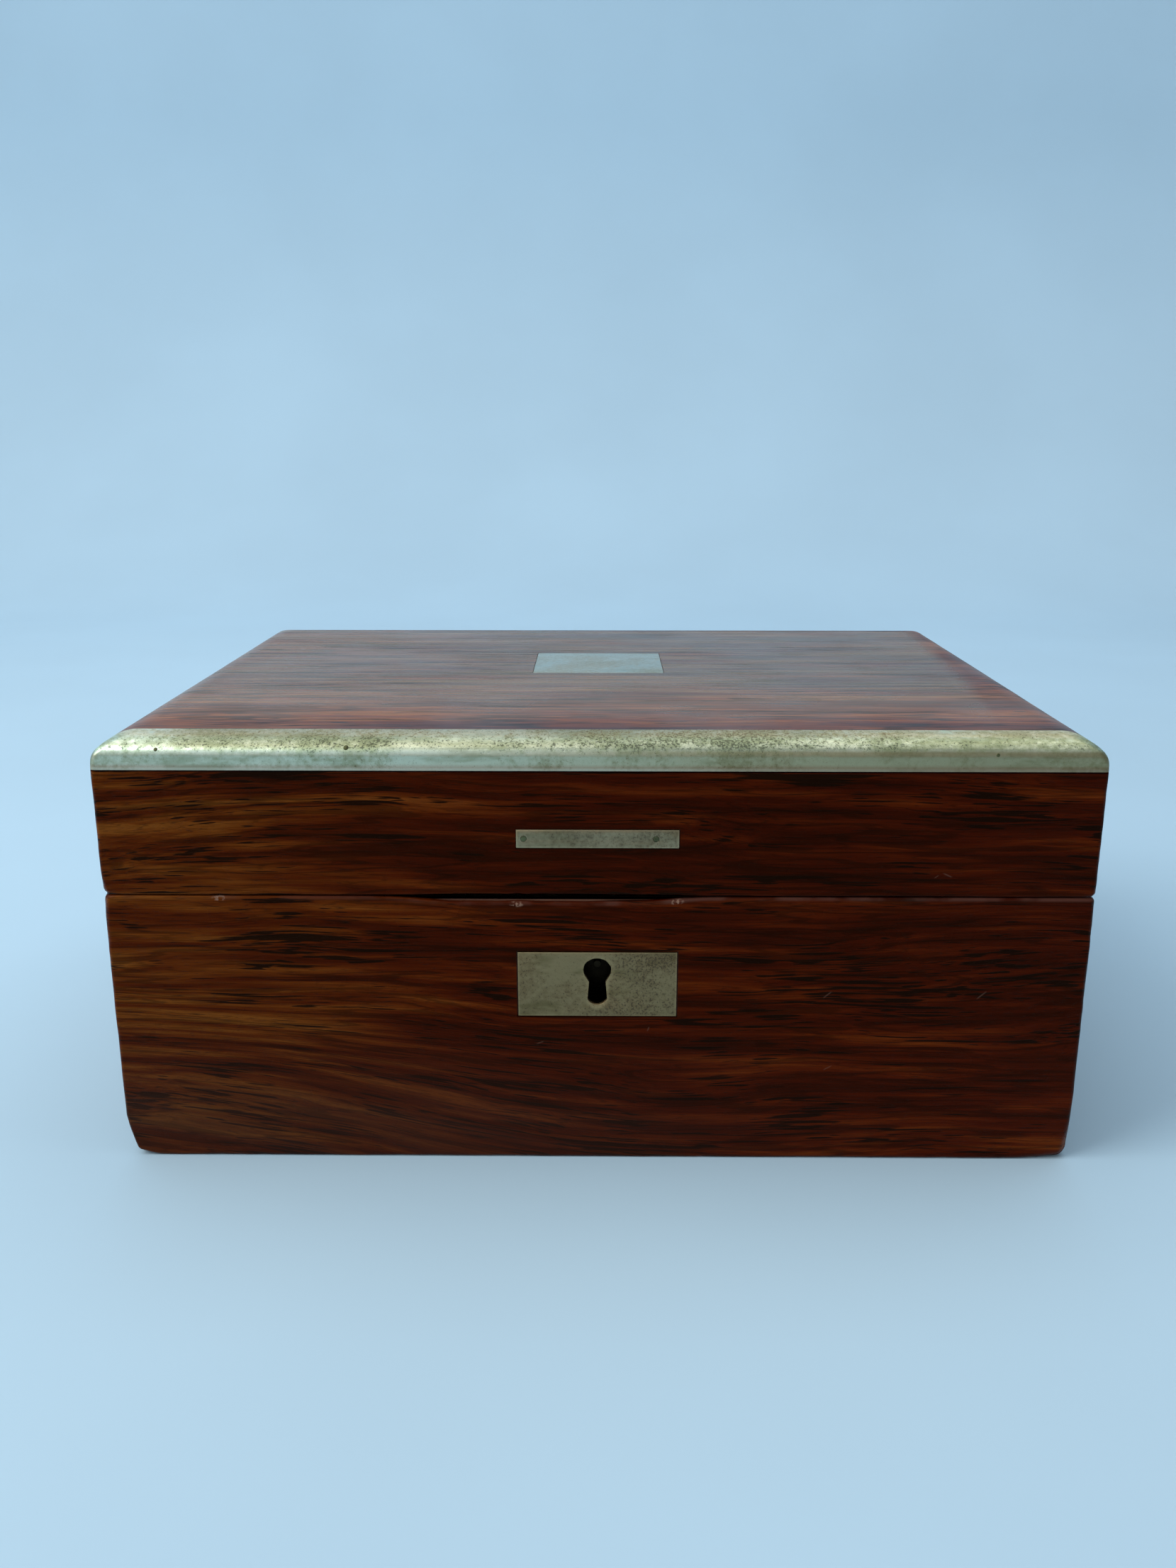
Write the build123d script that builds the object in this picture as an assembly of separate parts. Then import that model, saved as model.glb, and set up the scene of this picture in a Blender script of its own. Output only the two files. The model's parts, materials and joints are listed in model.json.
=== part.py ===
from build123d import *
from math import atan2, degrees, radians, sqrt, tan
import os

# Antique glove box: a low rosewood-veneered box with a hinged lid, a nickel-silver
# edge along the front of the lid, and a box lock. All sizes are in millimetres.
# The origin is the middle of the underside; +X is to the right, -Y is the front, +Z is up.

# --- closed box
WIDTH = 254.0
DEPTH = 187.0
HEIGHT = 116.5
JOINT_Z = 75.0            # height at which the lid was sawn from the base
RIM_GAP = 0.3             # gap between the two rims when the lid is closed
CORNER_ROUND = 0.9        # upright corners, rubbed by handling
ARRIS = 0.5               # bevel rubbed on the outer edges at the joint

# --- woodwork
BOARD = 8.0               # carcass boards
VENEER = 1.0
BOTTOM_BOARD = 6.0
TOP_BOARD = 9.5
FACING = 1.0              # rosewood facing on both rims
EDGING = 10.4             # width of the rounded rosewood edging on top of the lid
EDGING_HEIGHT = 8.4
SIDE_ROUND = (9.8, 6.9, 4.8)   # side and rear lid edges: across, down, tighter radius
FRONT_ROUND = (9.4, 5.0, 3.3)  # front lid edge: across, down, tighter radius
PIN_NARROW = 4.0          # dovetail pins at the end of a board
PIN_WIDE = 7.0            # dovetail pins at their root
BASE_TAILS = 3            # tails on each corner of the base
LID_TAILS = 2             # tails on each corner of the lid

# --- metal let into the wood
STRIP_METAL = 1.0         # sheet of the edge strip
STRIP_FLAT = 0.3          # flat of the edge strip behind its rounding
STRIP_HEIGHT = 8.4
STRIP_GAP = 0.4           # open line between the edge strip and the front veneer
INLAY_GAP = 0.12          # joint line round a plate let into veneer
PLATE_SIZE = (41.0, 37.0) # initial plate on top of the lid: across, front to back
PLATE_BACK = 14.0         # its middle, behind the middle of the lid
BAR_SIZE = (41.2, 4.8)    # bar in the front of the lid: across, high
BAR_Z = 90.4
BAR_PIN_X = (-18.7, 14.8)
BAR_PIN_R = 0.75
BAR_PIN_LENGTH = 5.0
ESCUTCHEON_SIZE = (41.3, 17.9)
ESCUTCHEON_Z = 50.65
KEYHOLE_R = 3.6
KEYHOLE_Z = 54.7          # middle of the keyhole's round end
KEYHOLE_SHOULDER = 1.6    # below the middle, where the round end runs into the leg
KEYHOLE_NECK = (2.1, 3.4) # half width, and depth below the middle
KEYHOLE_FOOT = (2.55, 8.2)
KEYHOLE_TIP = 1.5         # bulge below the foot

# --- hinges
HINGE_LENGTH = 32.0
HINGE_INSET = 49.0        # middle of a hinge from the side of the box
HINGE_BACK = 3.0          # hinge line from the back of the box
KNUCKLES = 3
KNUCKLE_GAP = 0.15
BARREL_R = 1.9
LEAF = 1.0
HINGE_PIN_R = 0.8
PIN_CLEARANCE = 0.05
BARREL_CLEARANCE = 0.25
OPEN_ANGLE = 100.0        # opening of the lid, in degrees
STOP_CLEARANCE = 1.5      # degrees left between the bevels that stop the lid

# --- box lock
LOCK_PLATE = 58.0         # width of the main plate and its selvedge
LOCK_EAR = 6.0            # main plate and selvedge beyond the cap, at each end
LOCK_METAL = 1.2          # main plate, selvedge and link plate
CAP_METAL = 0.8
CAP_DEPTH = 5.6
LOCK_BELOW_KEY = 12.0     # lower end of the lock below the middle of the keyhole
DRILL_PIN_R = 1.0
DRILL_PIN_SHORT = 1.0     # from the tip of the drill pin to the inside of the cap
LOOP_IN = 11.0            # middle of each loop from its end of the cap
LOOP_METAL = 0.8
LOOP_THICK = 1.8
LOOP_DROP = 6.8           # loops below the rim of the lid
SLOT_CLEARANCE = 0.35     # round a loop in the selvedge
BOLT_TRAVEL = 4.5
BOLT_METAL = 1.5
BOLT_HEIGHT = 4.8
BOLT_BELOW_LOOP = 0.8
FINGER = (2.5, 4.9)       # height and length of the bolt's fingers
FINGER_PLAY = 0.3         # above, below and beside a finger in its loop
FINGER_SHORT = 0.7        # from the tip of a finger to its loop, unlocked
RISER = 2.8               # width of the uprights that carry the fingers
TALON = (5.0, 2.3)        # notch for the key: across, deep
STUD_R = 1.0
STUD_IN = (3.0, 0.5)      # middle of each stud inside the loop on its side
STUD_SHOULDER = 0.7       # wider foot of each stud, all round
RUNNING_CLEARANCE = 0.15
SPRING_METAL = 0.4
SPRING_WIDTH = 2.2
SPRING_REACH = 11.0
SPRING_FALL = 5.0
LINK_DEPTH = 6.2          # link plate, front to back

# --- countersunk screw holes: head radius, shank radius, countersink depth
HINGE_SCREW = (1.5, 0.85, 0.75)
LOCK_SCREW = (1.95, 0.95, 1.0)
HINGE_SCREW_X = (-10.5, 10.5)
LOCK_SCREW_IN = 3.0       # from the edges of the main plate
LINK_PLATE = 54.0         # width of the link plate
LINK_SCREW_IN = 3.5       # from the ends of the link plate
FIT = 0.1                 # clearance of metal let into wood
PIN_FIT = 0.05            # clearance round a pin in its hole

# --- lining
LINING = 1.4              # cloth-covered card
LINING_DROP = 1.5         # below the rim
PAD = 3.5                 # padded floor and padded lid panel
PAD_CLEARANCE = 0.3

# --- places worked out from the sizes above
HALF_W = WIDTH / 2
HALF_D = DEPTH / 2
BASE_TOP = JOINT_Z - RIM_GAP / 2
LID_LOW = JOINT_Z + RIM_GAP / 2
CARCASS_X = HALF_W - VENEER
CARCASS_Y = HALF_D - VENEER
INNER_X = CARCASS_X - BOARD
INNER_Y = CARCASS_Y - BOARD
TOP_BOARD_LOW = HEIGHT - VENEER - TOP_BOARD
STRIP_BACK = FRONT_ROUND[0] + STRIP_FLAT - HALF_D
STRIP_LOW = HEIGHT - STRIP_HEIGHT
EDGING_LOW = HEIGHT - EDGING_HEIGHT
EDGING_X = HALF_W - EDGING
EDGING_Y = HALF_D - EDGING
HINGE_Y = HALF_D - HINGE_BACK
HINGE_X = HALF_W - HINGE_INSET
HINGE_SCREW_Y = (INNER_Y + HINGE_Y - BARREL_R) / 2
LOCK_CASE = LOCK_PLATE - 2 * LOCK_EAR
LOOP_X = LOCK_CASE / 2 - LOOP_IN
STUD_X = (STUD_IN[0] - LOOP_X, LOOP_X - STUD_IN[1])
LINK_SCREW_X = LINK_PLATE / 2 - LINK_SCREW_IN
LOCK_BACK = -INNER_Y
LOCK_FRONT = LOCK_BACK - LOCK_METAL - CAP_DEPTH
LOCK_LOW = KEYHOLE_Z - LOCK_BELOW_KEY
CAP_INSIDE = LOCK_FRONT + CAP_METAL
CAP_TOP = BASE_TOP - LOCK_METAL
LOOP_Y = (LOCK_BACK - LOCK_METAL + CAP_INSIDE) / 2
LOOP_HOLE_Y = BOLT_METAL / 2 + FINGER_PLAY
LOOP_HALF_Y = LOOP_HOLE_Y + LOOP_METAL
LOOP_LOW = LID_LOW - LOOP_DROP
LOOP_HOLE = (LOOP_LOW + LOOP_METAL, LOOP_LOW + LOOP_METAL + FINGER[0] + 2 * FINGER_PLAY)
FINGER_LOW = LOOP_HOLE[0] + FINGER_PLAY
BOLT_TOP = LOOP_LOW - BOLT_BELOW_LOOP
BOLT_LOW = BOLT_TOP - BOLT_HEIGHT
FAR = WIDTH + DEPTH       # longer than the box, for cutters


def block(x, y, z):
    """A solid block between two limits along each axis."""
    size = [high - low for low, high in (x, y, z)]
    middle = [(low + high) / 2 for low, high in (x, y, z)]
    return Pos(*middle) * Box(*size)


def around(middle, half):
    """The limits that lie half a width either side of a middle."""
    return (middle - half, middle + half)


def rod_x(y, z, radius, x):
    """A round rod along X between two limits."""
    length = x[1] - x[0]
    return Pos((x[0] + x[1]) / 2, y, z) * Rot(0, 90, 0) * Cylinder(radius, length)


def rod_y(x, z, radius, y):
    """A round rod along Y between two limits."""
    length = y[1] - y[0]
    return Pos(x, (y[0] + y[1]) / 2, z) * Rot(90, 0, 0) * Cylinder(radius, length)


def upright_front(depth):
    """A drawing plane facing the front, at a depth behind the front of the box."""
    return Plane.XZ.offset(HALF_D - depth)


# --- outer form

def soft_corner(half, rounding, inset):
    """Two arcs that meet smoothly and turn an upper right corner, tight at the side
    and flat on top; an inset gives curves that run parallel inside them."""
    across, down, tight = rounding
    flat = ((across - tight) ** 2 + down**2 - tight**2) / (2 * (down - tight))
    side_centre = (half - tight, HEIGHT - down)
    top_centre = (half - across, HEIGHT - flat)
    turn = degrees(atan2(side_centre[1] - top_centre[1], side_centre[0] - top_centre[0]))
    return [
        CenterArc(side_centre, tight - inset, 0, turn),
        CenterArc(top_centre, flat - inset, turn, 90 - turn),
    ]


def domed_outline(half, low_round, high_round, inset):
    """Outline of the lid seen along one axis, with both upper corners rounded."""
    high = soft_corner(half, high_round, inset)
    low = [mirror(arc, Plane.YZ) for arc in soft_corner(half, low_round, inset)]
    foot = JOINT_Z - RIM_GAP
    edge = half - inset
    top = HEIGHT - inset
    lines = high + low + [
        Line((edge, foot), (edge, HEIGHT - high_round[1])),
        Line((half - high_round[0], top), (low_round[0] - half, top)),
        Line((-edge, HEIGHT - low_round[1]), (-edge, foot)),
        Line((-edge, foot), (edge, foot)),
    ]
    return make_face(lines)


def plan_form(inset=0.0):
    """The box seen from above with its rubbed corners, as a tall prism."""
    width = WIDTH - 2 * inset
    depth = DEPTH - 2 * inset
    if inset < CORNER_ROUND:
        return extrude(RectangleRounded(width, depth, CORNER_ROUND - inset), HEIGHT)
    return extrude(Rectangle(width, depth), HEIGHT)


def lid_form(inset=0.0):
    """The outer form of the lid, or a form that lies inside it by the inset."""
    from_side = Plane.YZ * domed_outline(HALF_D, FRONT_ROUND, SIDE_ROUND, inset)
    from_front = Plane.XZ * domed_outline(HALF_W, SIDE_ROUND, SIDE_ROUND, inset)
    along = extrude(from_side, WIDTH, both=True)
    across = extrude(from_front, DEPTH, both=True)
    return plan_form(inset) & along & across


def rear_bevel(above):
    """The wedge planed off the rear edge at the joint; the lid leans on it when open."""
    slope = tan(radians((OPEN_ANGLE + STOP_CLEARANCE) / 2))
    run = 2 * HINGE_BACK
    rise = run * slope if above else -run * slope
    corners = [(HINGE_Y, JOINT_Z), (HINGE_Y + run, JOINT_Z), (HINGE_Y + run, JOINT_Z + rise)]
    if not above:
        corners.reverse()
    return extrude(Plane.YZ * make_face(Polyline(*corners, close=True)), FAR, both=True)


def hinge_pocket(x, above):
    """Room for a leaf in the rim, and for the barrel in the bevel."""
    span = around(x, HINGE_LENGTH / 2 + FIT)
    depth = (LID_LOW, LID_LOW + LEAF) if above else (BASE_TOP - LEAF, BASE_TOP)
    leaf = block(span, (INNER_Y, HINGE_Y), depth)
    return leaf + rod_x(HINGE_Y, JOINT_Z, BARREL_R + BARREL_CLEARANCE, span)


# --- countersunk screw holes

def screw_hole(kind, plate):
    """A hole through a plate, countersunk from its face at the origin."""
    head_r, shank_r, sink = kind
    points = [(0, 0), (head_r, 0), (shank_r, -sink), (shank_r, -2 * plate), (0, -2 * plate)]
    return revolve(Plane.XZ * make_face(Polyline(*points, close=True)), Axis.Z)


def hinge_screw_places(x, above):
    """Where the screws of one leaf lie, heads in the rim."""
    if above:
        return [Pos(x + dx, HINGE_SCREW_Y, LID_LOW) * Rot(180, 0, 0) for dx in HINGE_SCREW_X]
    return [Pos(x + dx, HINGE_SCREW_Y, BASE_TOP) for dx in HINGE_SCREW_X]


def lock_screw_places():
    """The four screws of the lock, heads inside the box."""
    x = LOCK_PLATE / 2 - LOCK_SCREW_IN
    levels = (LOCK_LOW + LOCK_SCREW_IN, CAP_TOP - LOCK_SCREW_IN)
    return [Pos(s * x, LOCK_BACK, z) * Rot(-90, 0, 0) for s in (-1, 1) for z in levels]


def link_screw_places():
    """The two screws of the link plate, heads in the rim of the lid."""
    return [Pos(s * LINK_SCREW_X, LOOP_Y, LID_LOW) * Rot(180, 0, 0) for s in (-1, 1)]


def drilled(solid, kind, plate, places):
    for place in places:
        solid = solid - place * screw_hole(kind, plate)
    return solid


# --- keyhole

def keyhole(grow=0.0):
    """Keyhole outline: a round eye over a leg that widens to a rounded foot."""
    neck_half, neck_down = KEYHOLE_NECK
    foot_half, foot_down = KEYHOLE_FOOT
    shoulder_half = sqrt(KEYHOLE_R**2 - KEYHOLE_SHOULDER**2)
    shoulder = (shoulder_half + grow, KEYHOLE_Z - KEYHOLE_SHOULDER)
    neck = (neck_half + grow, KEYHOLE_Z - neck_down)
    foot = (foot_half + grow, KEYHOLE_Z - foot_down)
    tip = (0, foot[1] - KEYHOLE_TIP - grow)
    crown = (0, KEYHOLE_Z + KEYHOLE_R + grow)
    right = Polyline(shoulder, neck, foot)
    left = mirror(right, Plane.YZ)
    eye = ThreePointArc(shoulder, crown, (-shoulder[0], shoulder[1]))
    end = ThreePointArc(foot, tip, (-foot[0], foot[1]))
    return make_face([eye, left, end, right])


def keyhole_cutter(front, back, grow=0.0):
    """A keyhole cut along Y between two depths behind the front of the box."""
    return extrude(upright_front(back) * keyhole(grow), back - front)


# --- carcass boards

def corner_tails(side, end, levels, count):
    """Dovetails on one end of a side board, running into the front or back board."""
    pitch = (levels[1] - levels[0]) / count
    root = end * INNER_Y
    tip = end * CARCASS_Y
    tails = []
    for index in range(count):
        z = levels[0] + (index + 0.5) * pitch
        at_root = (pitch - PIN_WIDE) / 2
        at_tip = (pitch - PIN_NARROW) / 2
        corners = [(root, z - at_root), (tip, z - at_tip), (tip, z + at_tip), (root, z + at_root)]
        if end < 0:
            corners.reverse()
        face = Plane.YZ * make_face(Polyline(*corners, close=True))
        start = INNER_X if side > 0 else -CARCASS_X
        tails.append(extrude(Pos(start, 0, 0) * face, BOARD))
    return tails


def carcass(levels, count, cutters):
    """Front, back, left and right boards, dovetailed at the corners."""
    boards = {}
    tails = {}
    for side in (-1, 1):
        for end in (-1, 1):
            tails[side, end] = corner_tails(side, end, levels, count)
    for name, side in (("left", -1), ("right", 1)):
        reach = sorted((side * INNER_X, side * CARCASS_X))
        board = block(reach, (-INNER_Y, INNER_Y), levels)
        for tail in tails[side, -1] + tails[side, 1]:
            board = board + tail
        boards[name] = board
    for name, end in (("front", -1), ("back", 1)):
        reach = sorted((end * INNER_Y, end * CARCASS_Y))
        board = block((-CARCASS_X, CARCASS_X), reach, levels)
        for tail in tails[-1, end] + tails[1, end]:
            board = board - tail
        boards[name] = board
    for name, board in boards.items():
        for cutter in cutters[name]:
            board = board - cutter
        boards[name] = board
    return boards


def rim_facing(levels, cutters):
    """Four mitred strips that cover the edge of the boards at the joint."""
    signs = [(-1, -1), (1, -1), (1, 1), (-1, 1)]
    outer = [(sx * CARCASS_X, sy * CARCASS_Y) for sx, sy in signs]
    inner = [(sx * INNER_X, sy * INNER_Y) for sx, sy in signs]
    pieces = []
    for index in range(4):
        after = (index + 1) % 4
        outline = Polyline(outer[index], outer[after], inner[after], inner[index], close=True)
        strip = extrude(Pos(0, 0, levels[0]) * make_face(outline), levels[1] - levels[0])
        for cutter in cutters:
            strip = strip - cutter
        pieces += strip.solids()
    return Compound(children=pieces)


def nearest_edge(solid, point):
    return solid.edges().sort_by_distance(point)[0]


def rim_arris(solid, point):
    """Rub off the outer edge of a veneer at the joint."""
    return chamfer(nearest_edge(solid, point), min(ARRIS, 0.8 * VENEER))


def side_veneer(side, levels, rim_z):
    """Veneer on a side, between the front and back veneers."""
    reach = sorted((side * CARCASS_X, side * HALF_W))
    sheet = block(reach, (-CARCASS_Y, CARCASS_Y), levels)
    return rim_arris(sheet, (side * HALF_W, 0, rim_z))


def end_veneer(end, levels):
    """Veneer over the whole front or back, with its upright corners rubbed."""
    reach = sorted((end * CARCASS_Y, end * HALF_D))
    return block((-HALF_W, HALF_W), reach, levels) & plan_form()


# --- lock

def lock_pocket():
    """Room in the front board for the main plate, the selvedge and the cap."""
    plate = block(
        around(0, LOCK_PLATE / 2 + FIT),
        (LOCK_BACK - LOCK_METAL, LOCK_BACK),
        (LOCK_LOW - FIT, BASE_TOP),
    )
    case = block(
        around(0, LOCK_CASE / 2 + FIT),
        (LOCK_FRONT - FIT, LOCK_BACK),
        (LOCK_LOW - FIT, BASE_TOP),
    )
    selvedge = block(
        around(0, LOCK_PLATE / 2 + FIT),
        (LOCK_FRONT - FIT, LOCK_BACK),
        (CAP_TOP, BASE_TOP),
    )
    return plate + case + selvedge


def lock_main_plate():
    """Plate inside the box, bent over the rim as the selvedge, with two shouldered studs."""
    plate = block(
        around(0, LOCK_PLATE / 2),
        (LOCK_BACK - LOCK_METAL, LOCK_BACK),
        (LOCK_LOW, BASE_TOP),
    )
    plate += block(around(0, LOCK_PLATE / 2), (LOCK_FRONT, LOCK_BACK), (CAP_TOP, BASE_TOP))
    for side in (-1, 1):
        plate -= block(
            around(side * LOOP_X, LOOP_THICK / 2 + SLOT_CLEARANCE),
            around(LOOP_Y, LOOP_HALF_Y + SLOT_CLEARANCE),
            (CAP_TOP, BASE_TOP),
        )
    bolt_back = LOOP_Y + BOLT_METAL / 2
    bolt_front = LOOP_Y - BOLT_METAL / 2
    face = LOCK_BACK - LOCK_METAL
    level = (BOLT_LOW + BOLT_TOP) / 2
    for x in STUD_X:
        shoulder = bolt_back + RUNNING_CLEARANCE
        plate += rod_y(x, level, STUD_R + STUD_SHOULDER, (shoulder, face))
        plate += rod_y(x, level, STUD_R, (bolt_front - RUNNING_CLEARANCE, face))
    return drilled(plate, LOCK_SCREW, LOCK_METAL, lock_screw_places())


def lock_cap():
    """Shallow tray over the works, with the keyhole in its face."""
    tray = block(
        around(0, LOCK_CASE / 2),
        (LOCK_FRONT, LOCK_BACK - LOCK_METAL),
        (LOCK_LOW, CAP_TOP),
    )
    tray -= block(
        around(0, LOCK_CASE / 2 - CAP_METAL),
        (CAP_INSIDE, LOCK_BACK - LOCK_METAL),
        (LOCK_LOW + CAP_METAL, CAP_TOP),
    )
    front = LOCK_FRONT + HALF_D
    return tray - keyhole_cutter(front - FIT, front + CAP_METAL + FIT, FINGER_PLAY)


def lock_drill_pin():
    """Pin that a pipe key fits over, riveted to the main plate."""
    tip = CAP_INSIDE + DRILL_PIN_SHORT
    return rod_y(0, KEYHOLE_Z, DRILL_PIN_R, (tip, LOCK_BACK - LOCK_METAL))


def stud_slot(x):
    """The slot in the bolt that lets it slide to the right past a stud."""
    half = STUD_R + RUNNING_CLEARANCE
    level = (BOLT_LOW + BOLT_TOP) / 2
    width = (x - BOLT_TRAVEL - half, x + half)
    depth = around(LOOP_Y, BOLT_METAL)
    return block(width, depth, around(level, half))


def lock_bolt():
    """Sliding bolt with two fingers that pass through the loops of the link plate."""
    depth = around(LOOP_Y, BOLT_METAL / 2)
    finger_height, finger_length = FINGER
    fingers = (FINGER_LOW, FINGER_LOW + finger_height)
    tips = [side * LOOP_X - LOOP_THICK / 2 - FINGER_SHORT for side in (-1, 1)]
    left = tips[0] - finger_length - RISER
    right = STUD_X[1] + STUD_R + RISER
    bolt = block((left, right), depth, (BOLT_LOW, BOLT_TOP))
    for tip in tips:
        root = tip - finger_length
        bolt += block((root - RISER, root), depth, (BOLT_LOW, fingers[1]))
        bolt += block((root - RISER, tip), depth, fingers)
    for x in STUD_X:
        bolt -= stud_slot(x)
    talon = around(-BOLT_TRAVEL / 2, TALON[0] / 2)
    return bolt - block(talon, depth, (BOLT_LOW, BOLT_LOW + TALON[1]))


def lock_spring():
    """Bowed strip held in the end of the cap, that bears up under the bolt."""
    foot_x = CAP_METAL - LOCK_CASE / 2
    crest = BOLT_LOW - RUNNING_CLEARANCE - SPRING_METAL
    start = (foot_x, crest - SPRING_FALL)
    middle = (foot_x + SPRING_REACH / 2, crest - SPRING_FALL / 4)
    end = (foot_x + SPRING_REACH, crest)
    over = [(x, z + SPRING_METAL) for x, z in (start, middle, end)]
    lines = [
        ThreePointArc(start, middle, end),
        Line(end, over[2]),
        ThreePointArc(over[2], over[1], over[0]),
        Line(over[0], start),
    ]
    plane = Plane.XZ.offset(-LOOP_Y)
    return extrude(plane * make_face(lines), SPRING_WIDTH / 2, both=True)


def link_pocket():
    """Room for the link plate in the rim of the lid."""
    return block(
        around(0, LINK_PLATE / 2 + FIT),
        around(LOOP_Y, LINK_DEPTH / 2 + FIT),
        (LID_LOW, LID_LOW + LOCK_METAL),
    )


def link_plate():
    """Plate in the rim of the lid with two loops that hang into the lock."""
    plate = block(
        around(0, LINK_PLATE / 2),
        around(LOOP_Y, LINK_DEPTH / 2),
        (LID_LOW, LID_LOW + LOCK_METAL),
    )
    for side in (-1, 1):
        thickness = around(side * LOOP_X, LOOP_THICK / 2)
        plate += block(thickness, around(LOOP_Y, LOOP_HALF_Y), (LOOP_LOW, LID_LOW))
        plate -= block(thickness, around(LOOP_Y, LOOP_HOLE_Y), LOOP_HOLE)
    return drilled(plate, LOCK_SCREW, LOCK_METAL, link_screw_places())


# --- hinges

def hinge_leaf(x, above):
    """One leaf with its own knuckles; the other leaf's knuckles turn in the gaps."""
    span = around(x, HINGE_LENGTH / 2)
    depth = (LID_LOW, LID_LOW + LEAF) if above else (BASE_TOP - LEAF, BASE_TOP)
    leaf = block(span, (INNER_Y, HINGE_Y), depth)
    leaf += rod_x(HINGE_Y, JOINT_Z, BARREL_R, span)
    pitch = HINGE_LENGTH / KNUCKLES
    for index in range(KNUCKLES):
        if (index % 2 == 1) == above:
            continue
        low = span[0] + index * pitch - KNUCKLE_GAP / 2
        high = low + pitch + KNUCKLE_GAP
        leaf -= rod_x(HINGE_Y, JOINT_Z, BARREL_R + BARREL_CLEARANCE, (low, high))
    bore = HINGE_PIN_R + PIN_CLEARANCE
    leaf -= rod_x(HINGE_Y, JOINT_Z, bore, around(x, HINGE_LENGTH))
    return drilled(leaf, HINGE_SCREW, LEAF, hinge_screw_places(x, above))


def hinge_pin(x):
    return rod_x(HINGE_Y, JOINT_Z, HINGE_PIN_R, around(x, HINGE_LENGTH / 2))


# --- base

def base_wood():
    pockets = [hinge_pocket(side * HINGE_X, False) for side in (-1, 1)]
    bevel = rear_bevel(False)
    eye = keyhole_cutter(VENEER, VENEER + BOARD / 2, 2 * FINGER_PLAY)
    cutters = {
        "front": [lock_pocket(), eye],
        "back": [bevel] + pockets,
        "left": [bevel],
        "right": [bevel],
    }
    levels = (BOTTOM_BOARD, BASE_TOP - FACING)
    parts = {
        "base_bottom_board": block(
            (-CARCASS_X, CARCASS_X),
            (-CARCASS_Y, CARCASS_Y),
            (0, BOTTOM_BOARD),
        )
    }
    for name, board in carcass(levels, BASE_TAILS, cutters).items():
        parts[f"base_{name}_board"] = board
    rim_cutters = [bevel, lock_pocket()] + pockets
    parts["base_rim_facing"] = rim_facing((BASE_TOP - FACING, BASE_TOP), rim_cutters)
    return parts


def base_veneers():
    levels = (0, BASE_TOP)
    front = rim_arris(end_veneer(-1, levels), (0, -HALF_D, BASE_TOP))
    width, height = ESCUTCHEON_SIZE
    front -= block(
        around(0, width / 2 + INLAY_GAP),
        (-HALF_D, -CARCASS_Y),
        around(ESCUTCHEON_Z, height / 2 + INLAY_GAP),
    )
    bevel = rear_bevel(False)
    return {
        "base_front_veneer": front,
        "base_back_veneer": end_veneer(1, levels) - bevel,
        "base_left_veneer": side_veneer(-1, levels, BASE_TOP) - bevel,
        "base_right_veneer": side_veneer(1, levels, BASE_TOP) - bevel,
    }


def base_lining():
    levels = (BOTTOM_BOARD, BASE_TOP - LINING_DROP)
    inside = INNER_Y - LINING
    round_lock = block(
        around(0, LOCK_PLATE / 2 + PAD_CLEARANCE),
        (LOCK_BACK, LOCK_BACK + LINING),
        (LOCK_LOW - PAD_CLEARANCE, BASE_TOP),
    )
    pad_x = INNER_X - LINING - PAD_CLEARANCE
    pad_y = inside - PAD_CLEARANCE
    pad = block((-pad_x, pad_x), (-pad_y, pad_y), (BOTTOM_BOARD, BOTTOM_BOARD + PAD))
    lining = wall_lining("base", levels)
    lining["base_lining_front"] -= round_lock
    lining["base_floor_pad"] = pad
    return lining


def wall_lining(body, levels):
    """Cloth-covered cards on the four inner walls."""
    inside = INNER_Y - LINING
    cards = {}
    for name, side in (("left", -1), ("right", 1)):
        reach = sorted((side * (INNER_X - LINING), side * INNER_X))
        cards[f"{body}_lining_{name}"] = block(reach, (-inside, inside), levels)
    for name, end in (("front", -1), ("back", 1)):
        reach = sorted((end * inside, end * INNER_Y))
        cards[f"{body}_lining_{name}"] = block((-INNER_X, INNER_X), reach, levels)
    return cards


def escutcheon():
    width, height = ESCUTCHEON_SIZE
    plate = block(
        around(0, width / 2),
        (-HALF_D, -CARCASS_Y),
        around(ESCUTCHEON_Z, height / 2),
    )
    return plate - keyhole_cutter(0, VENEER)


# --- lid

def lid_wood():
    pockets = [hinge_pocket(side * HINGE_X, True) for side in (-1, 1)]
    bevel = rear_bevel(True)
    bar_holes = bar_pins(PIN_FIT).solids()
    cutters = {
        "front": [link_pocket()] + bar_holes,
        "back": [bevel] + pockets,
        "left": [bevel],
        "right": [bevel],
    }
    levels = (LID_LOW + FACING, TOP_BOARD_LOW)
    parts = {"lid_top_board": lid_top_board()}
    for name, board in carcass(levels, LID_TAILS, cutters).items():
        parts[f"lid_{name}_board"] = board
    rim_cutters = [bevel, link_pocket()] + pockets
    parts["lid_rim_facing"] = rim_facing((LID_LOW, LID_LOW + FACING), rim_cutters)
    return parts


def edging_zone(outer=FAR):
    """The rebate round the sides and back of the lid that the edging fills."""
    zone = block((-outer, outer), (STRIP_BACK, outer), (EDGING_LOW, HEIGHT))
    return zone - block((-EDGING_X, EDGING_X), (STRIP_BACK, EDGING_Y), (EDGING_LOW, HEIGHT))


def strip_zone():
    """The front edge of the lid, as far as the strip covers it."""
    return block((-HALF_W, HALF_W), (-HALF_D, STRIP_BACK), (STRIP_LOW, HEIGHT))


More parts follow.
